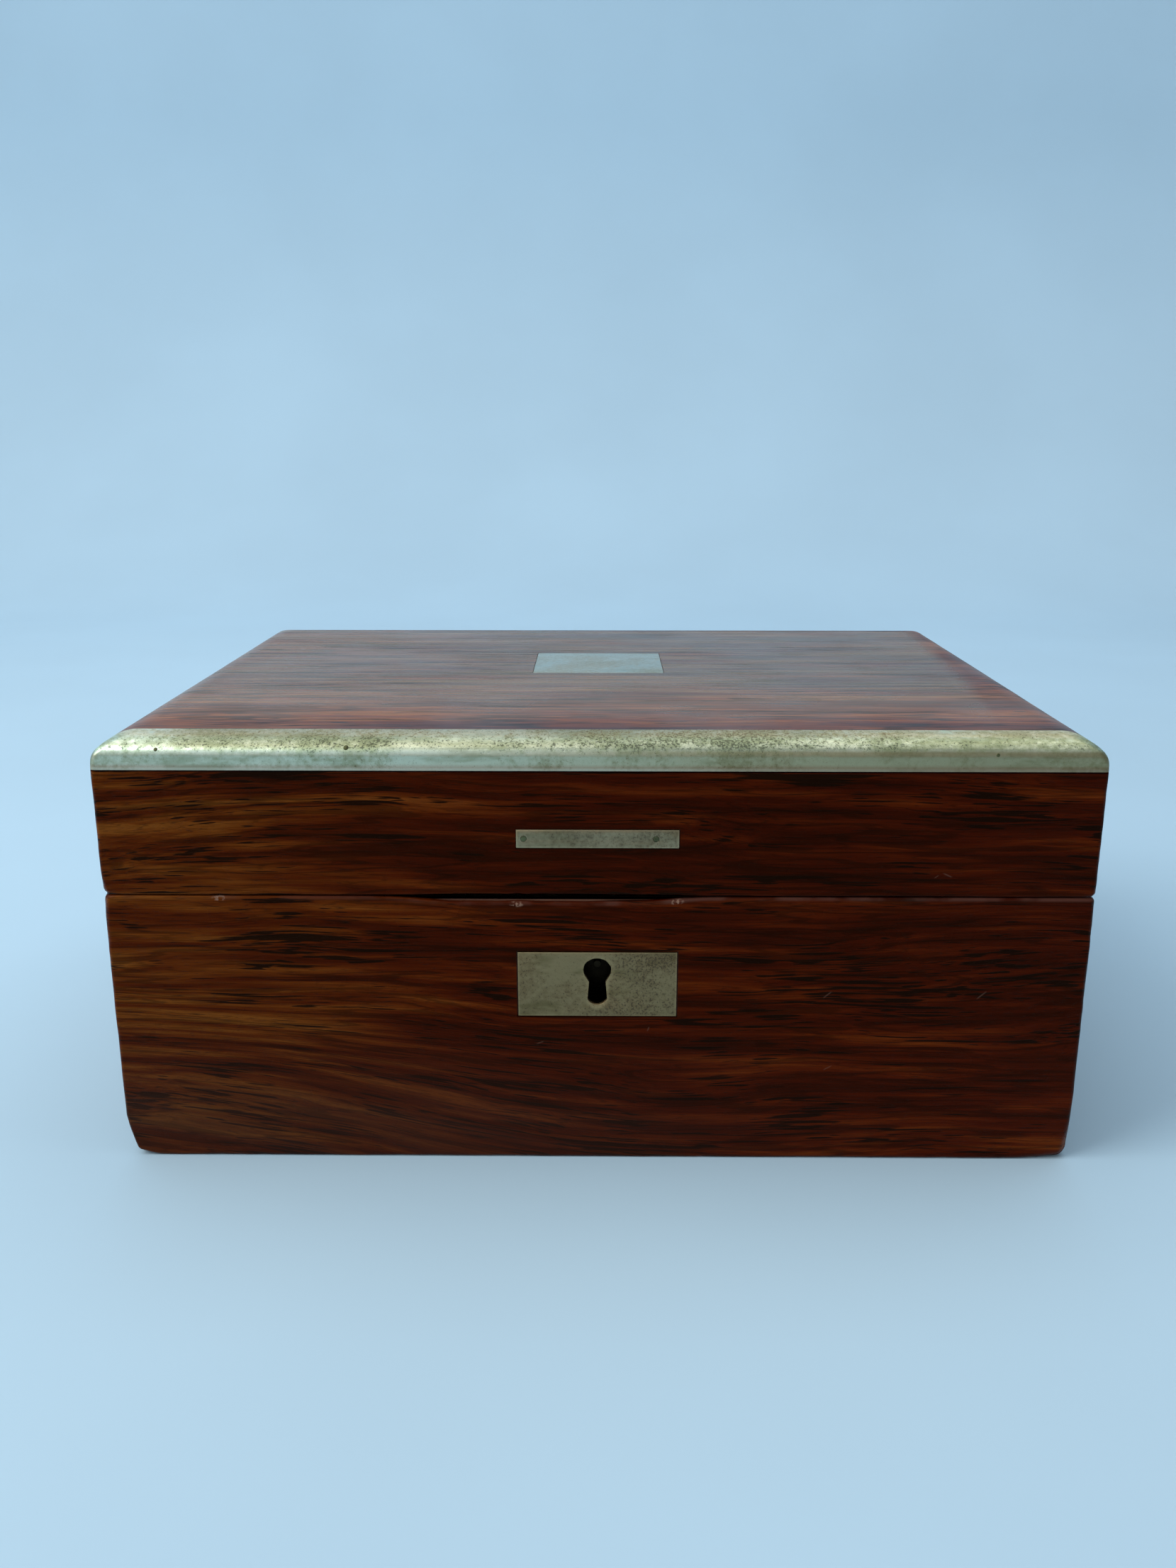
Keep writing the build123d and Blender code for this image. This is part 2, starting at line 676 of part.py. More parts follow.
def lid_top_board():
    """Top board on the walls: front edge rounded for the strip, rebated for the edging."""
    board = lid_form(STRIP_METAL) & strip_zone()
    board += block(
        (-CARCASS_X, CARCASS_X),
        (-CARCASS_Y, CARCASS_Y),
        (TOP_BOARD_LOW, min(STRIP_LOW, EDGING_LOW)),
    )
    board += block(
        (-EDGING_X, EDGING_X),
        (STRIP_BACK, EDGING_Y),
        (TOP_BOARD_LOW, HEIGHT - VENEER),
    )
    return board


def lid_edging():
    """Rounded rosewood edging on the sides and back of the lid, mitred at the corners."""
    form = lid_form() & edging_zone()
    mitre = [(0, HALF_D - HALF_W), (HALF_W + FAR, HALF_D + FAR), (-HALF_W - FAR, HALF_D + FAR)]
    wedge = extrude(make_face(Polyline(*mitre, close=True)), HEIGHT)
    sides = form - wedge
    return {
        "lid_edging_back": form & wedge,
        "lid_edging_left": sides & block((-FAR, 0), (-FAR, FAR), (0, HEIGHT)),
        "lid_edging_right": sides & block((0, FAR), (-FAR, FAR), (0, HEIGHT)),
    }


def edge_strip():
    """Nickel-silver strip worked over the front edge of the lid and its two ends."""
    return (lid_form() - lid_form(STRIP_METAL)) & strip_zone()


def bar_pins(grow=0.0):
    """Pins that hold the bar, filed off flush with it."""
    reach = (-HALF_D, BAR_PIN_LENGTH - HALF_D)
    return Compound(children=[rod_y(x, BAR_Z, BAR_PIN_R + grow, reach) for x in BAR_PIN_X])


def inlaid_bar(gap=0.0):
    """The bar let into the front of the lid, or the opening for it."""
    width, height = BAR_SIZE
    return block(
        around(0, width / 2 + gap),
        (-HALF_D, -CARCASS_Y),
        around(BAR_Z, height / 2 + gap),
    )


def inlaid_plate(gap=0.0):
    """The initial plate let into the top of the lid, or the opening for it."""
    width, depth = PLATE_SIZE
    return block(
        around(0, width / 2 + gap),
        around(PLATE_BACK, depth / 2 + gap),
        (HEIGHT - VENEER, HEIGHT),
    )


def lid_veneers():
    front_levels = (LID_LOW, STRIP_LOW - STRIP_GAP)
    other_levels = (LID_LOW, EDGING_LOW)
    front = rim_arris(end_veneer(-1, front_levels), (0, -HALF_D, LID_LOW))
    bevel = rear_bevel(True)
    top = block((-EDGING_X, EDGING_X), (STRIP_BACK, EDGING_Y), (HEIGHT - VENEER, HEIGHT))
    return {
        "lid_front_veneer": front - inlaid_bar(INLAY_GAP),
        "lid_back_veneer": end_veneer(1, other_levels) - bevel,
        "lid_left_veneer": side_veneer(-1, other_levels, LID_LOW) - bevel,
        "lid_right_veneer": side_veneer(1, other_levels, LID_LOW) - bevel,
        "lid_top_veneer": top - inlaid_plate(INLAY_GAP),
    }


def lid_lining():
    levels = (LID_LOW + LINING_DROP, TOP_BOARD_LOW)
    lining = wall_lining("lid", levels)
    pad_x = INNER_X - LINING - PAD_CLEARANCE
    pad_y = INNER_Y - LINING - PAD_CLEARANCE
    lining["lid_pad"] = block((-pad_x, pad_x), (-pad_y, pad_y), (TOP_BOARD_LOW - PAD, TOP_BOARD_LOW))
    return lining


# --- whole box

def fittings():
    parts = {
        "escutcheon": escutcheon(),
        "lock_main_plate": lock_main_plate(),
        "lock_cap": lock_cap(),
        "lock_drill_pin": lock_drill_pin(),
        "lock_bolt": lock_bolt(),
        "lock_spring": lock_spring(),
        "link_plate": link_plate(),
        "lid_edge_strip": edge_strip(),
        "initial_plate": inlaid_plate(),
        "lid_bar": inlaid_bar() - bar_pins(PIN_FIT),
        "lid_bar_pins": bar_pins(),
    }
    for name, side in (("left", -1), ("right", 1)):
        parts[f"hinge_{name}_lower_leaf"] = hinge_leaf(side * HINGE_X, False)
        parts[f"hinge_{name}_upper_leaf"] = hinge_leaf(side * HINGE_X, True)
        parts[f"hinge_{name}_pin"] = hinge_pin(side * HINGE_X)
    return parts


def glove_box():
    parts = {}
    groups = (
        base_wood,
        base_veneers,
        base_lining,
        lid_wood,
        lid_edging,
        lid_veneers,
        lid_lining,
        fittings,
    )
    for group in groups:
        parts.update(group())
    return parts


os.makedirs("parts", exist_ok=True)
for node, shape in glove_box().items():
    export_step(shape, f"parts/{node}.step")
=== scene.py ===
import json
from math import atan2, cos, pi, radians, sin, sqrt, tan

import bmesh
import bpy
import numpy as np
from mathutils import Euler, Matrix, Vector, noise
from numpy.linalg import norm

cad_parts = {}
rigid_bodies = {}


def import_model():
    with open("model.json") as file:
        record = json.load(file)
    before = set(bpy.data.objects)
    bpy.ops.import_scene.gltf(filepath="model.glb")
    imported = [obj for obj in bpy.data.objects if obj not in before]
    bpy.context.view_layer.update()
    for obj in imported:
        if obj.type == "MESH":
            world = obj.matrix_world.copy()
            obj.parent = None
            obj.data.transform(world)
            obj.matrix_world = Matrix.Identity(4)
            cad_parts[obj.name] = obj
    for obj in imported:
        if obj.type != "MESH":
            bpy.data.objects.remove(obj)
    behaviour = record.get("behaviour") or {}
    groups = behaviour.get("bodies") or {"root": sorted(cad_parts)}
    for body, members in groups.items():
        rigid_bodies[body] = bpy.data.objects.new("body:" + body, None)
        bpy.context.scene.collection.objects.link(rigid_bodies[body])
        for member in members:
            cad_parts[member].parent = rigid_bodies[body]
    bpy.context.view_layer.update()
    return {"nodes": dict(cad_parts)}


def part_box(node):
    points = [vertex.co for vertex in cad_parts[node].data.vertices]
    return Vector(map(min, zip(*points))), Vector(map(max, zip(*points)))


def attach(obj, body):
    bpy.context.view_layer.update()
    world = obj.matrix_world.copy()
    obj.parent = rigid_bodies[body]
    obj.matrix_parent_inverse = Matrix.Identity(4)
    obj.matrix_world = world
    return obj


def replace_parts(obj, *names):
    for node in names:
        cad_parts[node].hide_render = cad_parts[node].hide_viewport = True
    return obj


# Antique glove box. Sizes here are in millimetres and become metres where a mesh is made.
# +X is to the right, -Y is the front, +Z is up, as in the CAD frame.

for thing in list(bpy.data.objects):
    bpy.data.objects.remove(thing)

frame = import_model()
NODES = frame["nodes"]
SCENE = bpy.context.scene
MM = 0.001


def limits(node):
    """A CAD node's lowest and highest corner, in millimetres."""
    return [np.array(corner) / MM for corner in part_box(node)]


# --- sizes read from the frame
(_, FRONT, _), (HALF_W, _, BASE_TOP) = limits("base_front_veneer")
(_, _, STRIP_LOW), (_, STRIP_BACK, HEIGHT) = limits("lid_edge_strip")
EDGING = limits("lid_edging_left")
HINGE_LINE = limits("hinge_left_pin")
HALF_D = -FRONT
LID_LOW = limits("lid_front_veneer")[0][2]
EDGING_LOW = EDGING[0][2]
EDGING_IN = EDGING[1][0] - EDGING[0][0]
HINGE_Y, JOINT_Z = (HINGE_LINE[0][1:] + HINGE_LINE[1][1:]) / 2
LOCK_FACE = limits("lock_main_plate")[1][1]
LOCK_ROOF = limits("lock_cap")[1][2]

# --- sizes of the CAD that no box gives
EYE_Z = 54.7  # middle of the keyhole's round end
EYE_RADIUS = 3.6
FOOT_Z = EYE_Z - 7.9  # middle of its lower end
BEVEL_SLOPE = tan(radians(50.75))  # the bevel that stops the open lid
SIDE_ROUND = (9.8, 6.9, 4.8)  # rounded edges: across, down, tighter radius
FRONT_ROUND = (9.4, 5, 3.3)
STRIP_METAL = 1
EDGING_SHELL = 2
HINGE_X = 78  # screws
HINGE_SCREW_X, HINGE_SCREW_Y = 10.5, 86.55
LOWER_LEAF, UPPER_LEAF = 74.83, 75.17
LOCK_SCREW_X, LOCK_SCREW_Y, LOCK_SCREW_Z = 26, -84.52, (45.7, 70.65)
LINK_SCREW_X, LINK_SCREW_Y = 23.5, -88.1

# --- wear of the edges
UPRIGHT_ROUND = 1.2
FOOT_ROUND = 1
RIM_ROUND = 0.42
SPOTS = (  # place, extra radius, reach
    ((-HALF_W, -HALF_D, BASE_TOP), 1.5, 3),
    ((HALF_W, -HALF_D, BASE_TOP), 0.9, 2.5),
    ((-HALF_W, HALF_D, BASE_TOP), 0.5, 2.5),
    ((HALF_W, HALF_D, BASE_TOP), 0.7, 2.5),
    ((HALF_W, -HALF_D, 0), 2.6, 9),
    ((-97, -HALF_D, BASE_TOP), 0.45, 1.7),
    ((-20.7, -HALF_D, BASE_TOP), 0.5, 1.5),
    ((20.4, -HALF_D, BASE_TOP), 0.55, 1.5),
)
CHIPS = [place for place, _, _ in SPOTS if abs(place[0]) < HALF_W - 5]
CORNER_SHIFT = 2.7  # the worn foot at the front left: inwards
CORNER_RISE = 12
CORNER_LIFT = 1.7  # and upwards
CORNER_RUN = 9.5
CORNER_DEPTH = 16  # how far back it goes
JOINT_SAG = 1.45  # the rim has shrunk near the lock
SAG_X, SAG_SPREAD = -14, 34
STRIP_PINS = (  # place along the strip, distance below its top, radius
    (-110, 3.2, 0.5),
    (-62.6, 2.7, 0.68),
    (99, 4.1, 0.46),
)
SHOULDER_RISE = 4.9  # the painted highlight line on the strip, above its foot
TARNISH_AND_LIGHT_BAND = (111.5, 114)  # heights between which the strip's tarnish thickens; the lower also bounds the painted reflection above and the painted shadow below
SCRATCHES = (  # middle, turn, length, width
    ((60, 48), 40, 3.4, 0.6),
    ((100, 48), 42, 3.8, 0.62),
    ((88.8, 81), -25, 3, 0.6),
    ((86, 80.6), 35, 1.6, 0.45),
    ((-15, 34), 22, 2.6, 0.55),
    ((13.4, 38), 70, 1.6, 0.55),
    ((61, 27), 30, 3, 0.5),
)

# --- colours of what lies in and on the materials, and of painted light and shade
WOOD_TONES = (
    (0.34, (0.02, 0.002, 0.0004)),
    (0.45, (0.039, 0.004, 0.0006)),
    (0.52, (0.059, 0.0082, 0.001)),
    (0.6, (0.092, 0.019, 0.0022)),
    (0.7, (0.14, 0.04, 0.0058)),
)
FLECK = (0.0016, 0.0007, 0.0005)
PORE = (0.005, 0.0015, 0.0008)
DUST = (0.045, 0.02, 0.015)
# partly rubbed wear, partly a painted highlight on the rim's edge
RUBBED_AND_HIGHLIT_WOOD = (0.105, 0.042, 0.03)
CHIPPED_WOOD = (0.26, 0.15, 0.105)
SCRATCHED_WOOD = (0.16, 0.085, 0.06)
# painted shade in the opened joint
GAP_SHADE = (0.0012, 0.0008, 0.0006)
SUNNED_WOOD = (0.095, 0.026, 0.01)
# a pale veil, partly haze in the polish and partly a painted reflection, and an added painted glare
POLISH_HAZE_AND_REFLECTION = (0.24, 0.17, 0.08)
POLISH_GLARE = (0.052, 0.036, 0.024)
CLOTH = ((0.02, 0.004, 0.008), (0.04, 0.009, 0.016))
STRIP_SHADOW = (0.225, 0.205, 0.115)
STRIP_FOOT = (0.62, 0.64, 0.5)
# painted shade inside the lock
LOCK_INSIDE_SHADE = (0.006, 0.005, 0.004)
BROWN_SPOT = (0.06, 0.035, 0.018)
FLUFF = (0.2, 0.1, 0.12)


# --- meshes

def adjust(thing, **settings):
    for name, value in settings.items():
        setattr(thing, name, value)
    return thing


def add_object(name, data):
    thing = bpy.data.objects.new(name, data)
    SCENE.collection.objects.link(thing)
    return thing


def mesh_object(name, points, faces):
    """An object from points in millimetres."""
    mesh = bpy.data.meshes.new(name)
    mesh.from_pydata((np.asarray(points) * MM).tolist(), [], [list(f) for f in faces])
    mesh.update()
    return add_object(name, mesh)


def places_of(piece):
    return np.array([v.co for v in piece.data.vertices]) / MM


def move_to(piece, points):
    piece.data.vertices.foreach_set("co", (points * MM).reshape(-1))


def dress(piece, material, smooth=True):
    mesh = piece.data
    mesh.materials.clear()
    mesh.materials.append(material)
    mesh.polygons.foreach_set("use_smooth", [smooth] * len(mesh.polygons))
    mesh.polygons.foreach_set("material_index", [0] * len(mesh.polygons))


def belong(piece, material, body, slot, smooth=True):
    """Give a piece its material and body; the slot is not used."""
    dress(piece, material, smooth)
    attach(piece, body)
    return piece


def new_piece(name, points, faces, material, body, slot, smooth=True):
    return belong(mesh_object(name, points, faces), material, body, slot, smooth)


def apply_modifiers(piece):
    """Turn what the modifiers make into the piece's own mesh."""
    graph = bpy.context.evaluated_depsgraph_get()
    mesh = bpy.data.meshes.new_from_object(piece.evaluated_get(graph))
    old = piece.data
    piece.modifiers.clear()
    piece.data = mesh
    bpy.data.meshes.remove(old)


def sharp_edges(piece, angle):
    """Smooth shading, but not across edges that turn more than the angle."""
    mesh = bmesh.new()
    mesh.from_mesh(piece.data)
    for edge in mesh.edges:
        edge.smooth = not edge.is_manifold or edge.calc_face_angle(0) < radians(angle)
    mesh.to_mesh(piece.data)
    mesh.free()


def spread(low, high, fine, coarse, zone, at=()):
    """Coordinates from low to high, closer near the ends and the places in `at`."""
    places = [low]
    while places[-1] < high:
        near = min(abs(places[-1] - stop) for stop in (low, high, *at))
        places.append(places[-1] + min(coarse, fine + 0.45 * max(0, near - zone)))
    places[-1] = high
    for stop in at:
        places[int(np.argmin(np.abs(np.array(places) - stop)))] = stop
    return np.array(sorted(set(places)))


def lattice(axes, keep=None):
    """Points and outward faces round the cells of a lattice, or those that keep() holds."""
    middles = np.meshgrid(*[(a[1:] + a[:-1]) / 2 for a in axes], indexing="ij")
    kept = np.pad(keep(*middles) if keep else np.ones(middles[0].shape, bool), 1)
    shape = [len(a) for a in axes]
    index = np.arange(np.prod(shape)).reshape(shape)
    quads = []
    for axis in range(3):
        cells = np.moveaxis(kept, axis, 0)[:, 1:-1, 1:-1]
        ids = np.moveaxis(index, axis, 0)
        for outward in (True, False):
            inner, outer = (cells[:-1], cells[1:]) if outward else (cells[1:], cells[:-1])
            i, j, k = np.nonzero(inner & ~outer)
            loop = [ids[i, j, k], ids[i, j + 1, k], ids[i, j + 1, k + 1], ids[i, j, k + 1]]
            if outward == (axis == 1):
                loop.reverse()
            quads.append(np.stack(loop, 1))
    quads = np.concatenate(quads)
    used, faces = np.unique(quads, return_inverse=True)
    points = np.stack(np.meshgrid(*axes, indexing="ij"), -1).reshape(-1, 3)[used]
    return points, faces.reshape(quads.shape)


def weld(points, faces):
    """Join points in one place and drop faces that collapse."""
    unique, inverse = np.unique(np.round(points, 4), axis=0, return_inverse=True)
    inverse = inverse.reshape(-1)
    loops = [list(dict.fromkeys(inverse[face].tolist())) for face in np.asarray(faces)]
    return unique, [loop for loop in loops if len(loop) > 2]


def grid(rows):
    """Points and faces of a net of rows of points."""
    count, width = rows.shape[:2]
    ids = np.arange(count * width).reshape(count, width)
    loop = (ids[:-1, :-1], ids[:-1, 1:], ids[1:, 1:], ids[1:, :-1])
    return rows.reshape(-1, 3), np.stack([part.reshape(-1) for part in loop], 1)


# --- wear, one field for all pieces, so that neighbours stay flush

def ripple(points, scale, seed=0):
    """Smooth noise between about -1 and 1 at each point."""
    shift = Vector((seed, 2 * seed, 3 * seed))
    return np.array([noise.noise(Vector(p) / scale + shift) for p in points.tolist()])


def fade(distance, reach, power=1):
    """1 at no distance, falling to 0 at the reach."""
    return np.clip(1 - distance / reach, 0, 1) ** power


def edge_radius(points, rim, foot):
    """How round the edges are near each point."""
    near_rim = np.exp(-((points[:, 2] - rim) / 1.6) ** 2)
    radius = UPRIGHT_ROUND + (RIM_ROUND - UPRIGHT_ROUND) * near_rim
    if foot:
        radius += (FOOT_ROUND - UPRIGHT_ROUND) * np.exp(-((points[:, 2]) / 3) ** 2)
    radius *= 1 + 0.35 * ripple(points, 14, 3.1) + 0.25 * ripple(points, 3.5, 7.7)
    for place, extra, reach in SPOTS:
        distance = norm(points - np.array(place), axis=1)
        radius += extra * np.exp(-((distance / reach) ** 2))
    return radius


def pulled(points, core, radius):
    """Bring points further than the radius from their core to that distance."""
    away = points - core
    length = np.maximum(norm(away, axis=1, keepdims=True), 1e-9)
    return core + away * np.minimum(1, radius / length)


def rounded(points, low, high, radius):
    """Pull points onto a box with the given radius at its edges."""
    radius = np.broadcast_to(radius, len(points))[:, None]
    return pulled(points, np.clip(points, low + radius, high - radius), radius)


def worn_foot(points):
    """The base's front left corner, worn at its foot."""
    x, y, z = points[:, 0] + HALF_W, points[:, 1] + HALF_D, points[:, 2]
    back = fade(y, CORNER_DEPTH, 1.5)
    moved = points.copy()
    moved[:, 0] += CORNER_SHIFT * fade(z, CORNER_RISE, 1.4) * back * fade(x, 14)
    moved[:, 2] += CORNER_LIFT * fade(x, CORNER_RUN, 1.6) * back * fade(z, 14)
    return moved


def sagged(points, rim, depth):
    """Bring the rim down, or up, where the joint has opened."""
    along = np.exp(-(((points[:, 0] - SAG_X) / SAG_SPREAD) ** 4))
    front, near = fade(points[:, 1] + HALF_D, 20), fade(np.abs(points[:, 2] - rim), 8)
    moved = points.copy()
    moved[:, 2] += depth * along * front * near * (1 + 0.5 * ripple(points * (1, 0, 0), 9, 1.3))
    return moved


def worn(points, body):
    """The base or the lid as its wear leaves it."""
    base = body == "base"
    rim, top = (BASE_TOP, BASE_TOP) if base else (LID_LOW, 2 * HEIGHT)
    radius = edge_radius(points, rim, base)
    points = rounded(points, (-HALF_W, -HALF_D, 0 if base else LID_LOW), (HALF_W, HALF_D, top), radius)
    return sagged(worn_foot(points), rim, -JOINT_SAG) if base else sagged(points, rim, 0.3 * JOINT_SAG)


# --- node materials

class Value:
    """What a node gives. Sums and products of values are nodes too, and | is the greater one."""

    __array_ufunc__ = None  # numpy's numbers leave the sum to this class

    def __init__(self, paint, socket):
        self.paint, self.socket = paint, socket

    __add__ = __radd__ = lambda self, other: self.paint.maths("ADD", self, other)
    __mul__ = __rmul__ = lambda self, other: self.paint.maths("MULTIPLY", self, other)
    __sub__ = lambda self, other: self.paint.maths("SUBTRACT", self, other)
    __rsub__ = lambda self, other: self.paint.maths("SUBTRACT", other, self)
    __or__ = lambda self, other: self.paint.maths("MAXIMUM", self, other)
    __abs__ = lambda self: self.paint.maths("ABSOLUTE", self)


class Paint:
    """A material or world under construction; its methods add nodes and return values."""

    def __init__(self, name, kind="materials", shader="Principled BSDF"):
        self.owner = getattr(bpy.data, kind).new(name)
        self.owner.use_nodes = True
        self.tree = self.owner.node_tree
        self.shader = self.tree.nodes[shader]

    def link(self, value, socket):
        if isinstance(value, Value):
            self.tree.links.new(value.socket, socket)
        else:
            socket.default_value = (*value, 1) if socket.type == "RGBA" else value

    def node(self, kind, output, inputs, **settings):
        node = adjust(self.tree.nodes.new(f"ShaderNode{kind}"), **settings)
        for name, value in inputs.items():
            self.link(value, node.inputs[name])
        return Value(self, node.outputs[output])

    def place(self):
        """Object coordinates in millimetres, which move with the piece."""
        return self.scaled(self.node("TexCoord", "Object", {}), (1 / MM, 1 / MM, 1 / MM))

    def scaled(self, vector, scale, turn=0, shift=(0, 0, 0)):
        return self.node("Mapping", "Vector", {
            "Vector": vector, "Scale": scale, "Rotation": (0, 0, radians(turn)), "Location": shift})

    def parts(self, vector):
        return [self.node("SeparateXYZ", axis, {"Vector": vector}) for axis in "XYZ"]

    def vector(self, x, y, z):
        return self.node("CombineXYZ", "Vector", {"X": x, "Y": y, "Z": z})

    def distance(self, vector, place):
        return self.node("VectorMath", "Value", {0: vector, 1: place}, operation="DISTANCE")

    def maths(self, operation, first, second=0):
        return self.node("Math", "Value", {0: first, 1: second}, operation=operation)

    def noise(self, vector, scale, detail=3, rough=0.5, warp=0, **placed):
        """Noise at one scale, or at one for each axis."""
        if isinstance(scale, tuple):
            vector, scale = self.scaled(vector, scale, **placed), 1
        return self.node("TexNoise", "Fac", {
            "Vector": vector, "Scale": scale, "Detail": detail, "Roughness": rough, "Distortion": warp})

    def step(self, value, low, high, to_low=0, to_high=1):
        """A smooth step between two levels, as the value goes from low to high."""
        return self.node("MapRange", "Result", {
            "Value": value, "From Min": low, "From Max": high, "To Min": to_low, "To Max": to_high,
        }, interpolation_type="SMOOTHSTEP")

    def ramp(self, value, stops):
        """Colours at given values, blended in between."""
        node = self.tree.nodes.new("ShaderNodeValToRGB")
        self.link(value, node.inputs["Fac"])
        elements = node.color_ramp.elements
        while len(elements) < len(stops):
            elements.new(0.5)
        for element, (at, colour) in zip(elements, stops):
            element.position = at
            element.color = (*colour, 1)
        return Value(self, node.outputs["Color"])

    def mix(self, amount, first, second, blend="MIX"):
        return self.node("Mix", "Result", {"Factor": amount, "A": first, "B": second},
                         data_type="RGBA", blend_type=blend)

    def shade(self, colour, tone, amount=1):
        """The colour multiplied by a tone, wholly or in part."""
        return self.mix(amount, colour, tone, "MULTIPLY")

    def bump(self, height, depth, normal=None):
        """Raised or sunk detail; depth is in millimetres."""
        under = {} if normal is None else {"Normal": normal}
        return self.node("Bump", "Normal", {"Distance": depth * MM, "Height": height, **under})

    def stroke(self, place, middle, turn, length, width):
        """A short thin mark in the plane of the front."""
        x, _, z = self.parts(place)
        x, z = x - middle[0], z - middle[1]
        c, s = cos(radians(turn)), sin(radians(turn))
        along, across = x * c + z * s, z * c - x * s
        return self.step(abs(along), length / 2, length / 5) * self.step(abs(across), width / 2, 0)

    def set(self, **values):
        """Set shader sockets; a name's underscores stand for spaces."""
        for name, value in values.items():
            self.link(value, self.shader.inputs[name.replace("_", " ")])
        return self.owner


def rosewood(name, along="X", seed=0, shine=(0.22, 0.36), tint=(1, 0.35, 0.12), strength=0.13,
             lift=0, gain=1, depth=0.03, soft=0, sunned_with_glare=0):
    """Polished rosewood: brown ground, thin dark lines, black flecks and open pores.

    The grain runs along X, along Y or round the rim. soft blurs the figure, and the last argument
    bleaches the wood and veils it, partly as haze in the polish and partly as a painted reflection of the
    pale backdrop, as on the top of the lid.
    """
    paint = Paint(name)
    step, mix, shade = paint.step, paint.mix, paint.shade
    place = paint.place()
    x, y, z = paint.parts(place)
    if along == "Y":
        x, y = y, x
    if along == "rim":
        side = paint.maths("LESS_THAN", HALF_W - abs(x), HALF_D - abs(y))
        x, y = y * side + x * (1 - side), x * side + y * (1 - side)
    # the figure wanders, and slopes down to the right in the lower left of the front
    wander = (paint.noise(paint.vector(0.3 * x, y, z), 0.024, 2) - 0.5) * (8 if sunned_with_glare else 15)
    slope = step(z, 56, 22) * step(x, 60, -70) * (0.16 * x)
    y, z = y + wander, z + (wander + slope)
    grain = paint.vector(x, y, z)

    def layer(length, width, detail, rough):
        """Noise with marks of about the given length and width along the grain."""
        return paint.noise(grain, (1 / length, 1 / width, 1 / width), detail, rough, shift=(seed,) * 3)

    broad = layer(110, 9, 3, 0.55)
    figure = layer(60, 2.6, 4, 0.55)
    lines = layer(75, 4.2, 2, 0.55)
    hairs = layer(30, 1.5, 2, 0.5)
    fine = layer(12, 0.3, 3, 0.6)
    dashes = layer(36, 1, 1, 0.4)
    flecks = layer(12, 0.58, 1, 0.4)
    where = layer(45, 7, 2, 0.5)
    pore = step(layer(2.4, 0.15, 1, 0.4), 0.63, 0.71)

    # the step along x is painted light: the wood is lighter towards the left, where the window light
    # falls
    level = 0.57 * broad + 0.69 * figure + step(x, 20, -115, lift - 0.15, lift - 0.045)
    drawn = step(abs(lines - 0.5), 0.04, 0.008) | 0.62 * step(abs(hairs - 0.5), 0.035, 0.008)
    grade = 0.19 + 0.2 * soft
    tone = step(fine, 0.25, 0.75, (1 - grade) * gain, (1 + grade) * gain)
    colour = shade(paint.ramp(level, WOOD_TONES), tone * step(drawn, 0, 1, 1.06, 0.56))
    # painted light: lighter towards the left, where the window light falls, and redder and darker to the
    # right; on the top a fixed tint
    redder = 0.8 if sunned_with_glare else step(x, -100, -10)
    colour = shade(colour, mix(redder, (1.16, 1.2, 1.15), (1.02, 0.74, 0.8)))
    if not sunned_with_glare:
        colour = shade(colour, (1.32, 1.42, 1.15), step(z, 50, 20) * step(x, 0, 70))
        upper = step(z, 70, 84) * step(x, -60, -20) * step(x, 95, 45)
        colour = shade(colour, (0.82, 0.76, 0.8), upper)
    crowd = step(where, 0.4, 0.64, -0.11, 0.08) + step(x, -90, 20, 0.016, -0.006)
    black = step(flecks + crowd, 0.63, 0.69) | step(dashes + crowd, 0.64, 0.7)
    colour = mix(black * (0.95 - 0.55 * soft), colour, FLECK)
    colour = mix(pore * (0.4 * (1 - soft)), colour, PORE)

    # dust in the polish at the foot, chips, a pale line along the joint that is partly rubbed wear and
    # partly a painted highlight, and scratches
    x, y, z = paint.parts(place)
    dusty = step(z, 46, 4) * step(x, 90, -70, 0.15, 1) * step(broad, 0.35, 0.65, 0.7, 1.2)
    colour = mix(0.48 * dusty, colour, DUST)
    from_sag = abs(x - SAG_X)
    z = z + step(from_sag, 1.28 * SAG_SPREAD, 0.72 * SAG_SPREAD, 0, JOINT_SAG)
    if along != "rim":
        # a pale line just below the joint: partly rubbed wear, partly a painted highlight on the rim's
        # rounded edge
        under = BASE_TOP - z
        patchy = step(paint.noise(place, 0.1), 0.4, 0.6, 0.15, 1)
        rubbed = step(under, 1.3, 0.35) * step(under, -0.28, -0.05) * patchy
        colour = mix(rubbed * step(x, -45, 5, 0.35, 0.75), colour, RUBBED_AND_HIGHLIT_WOOD)
    for chip_x, chip_y, chip_z in CHIPS:
        chip = paint.distance(paint.vector(0.45 * x, y, z), (0.45 * chip_x, chip_y, chip_z - 0.5))
        grains = step(paint.noise(place, 1.1), 0.44, 0.58)
        colour = mix(step(chip, 1, 0.45) * grains, colour, CHIPPED_WOOD)
    if along == "rim":
        # painted shade: the rim's facing is near-black in the opened joint near the lock
        darkened = step(y, 2.4 - HALF_D, 1.9 - HALF_D) * step(from_sag, 1.4 * SAG_SPREAD, SAG_SPREAD)
        colour = mix(darkened, colour, GAP_SHADE)
    scuff = 0
    for scratch in SCRATCHES:
        scuff = paint.stroke(place, *scratch) | scuff
    colour = mix(0.4 * scuff, colour, SCRATCHED_WOOD)
    haze = paint.noise(place, 0.028)
    rough = step(haze, 0.3, 0.7, *shine) + (black + scuff) * (0.14 * (1 - soft))
    if sunned_with_glare:
        colour = mix(0.15, colour, SUNNED_WOOD)
        colour = shade(colour, step(drawn | black, 0, 1, 1.06, 0.5))
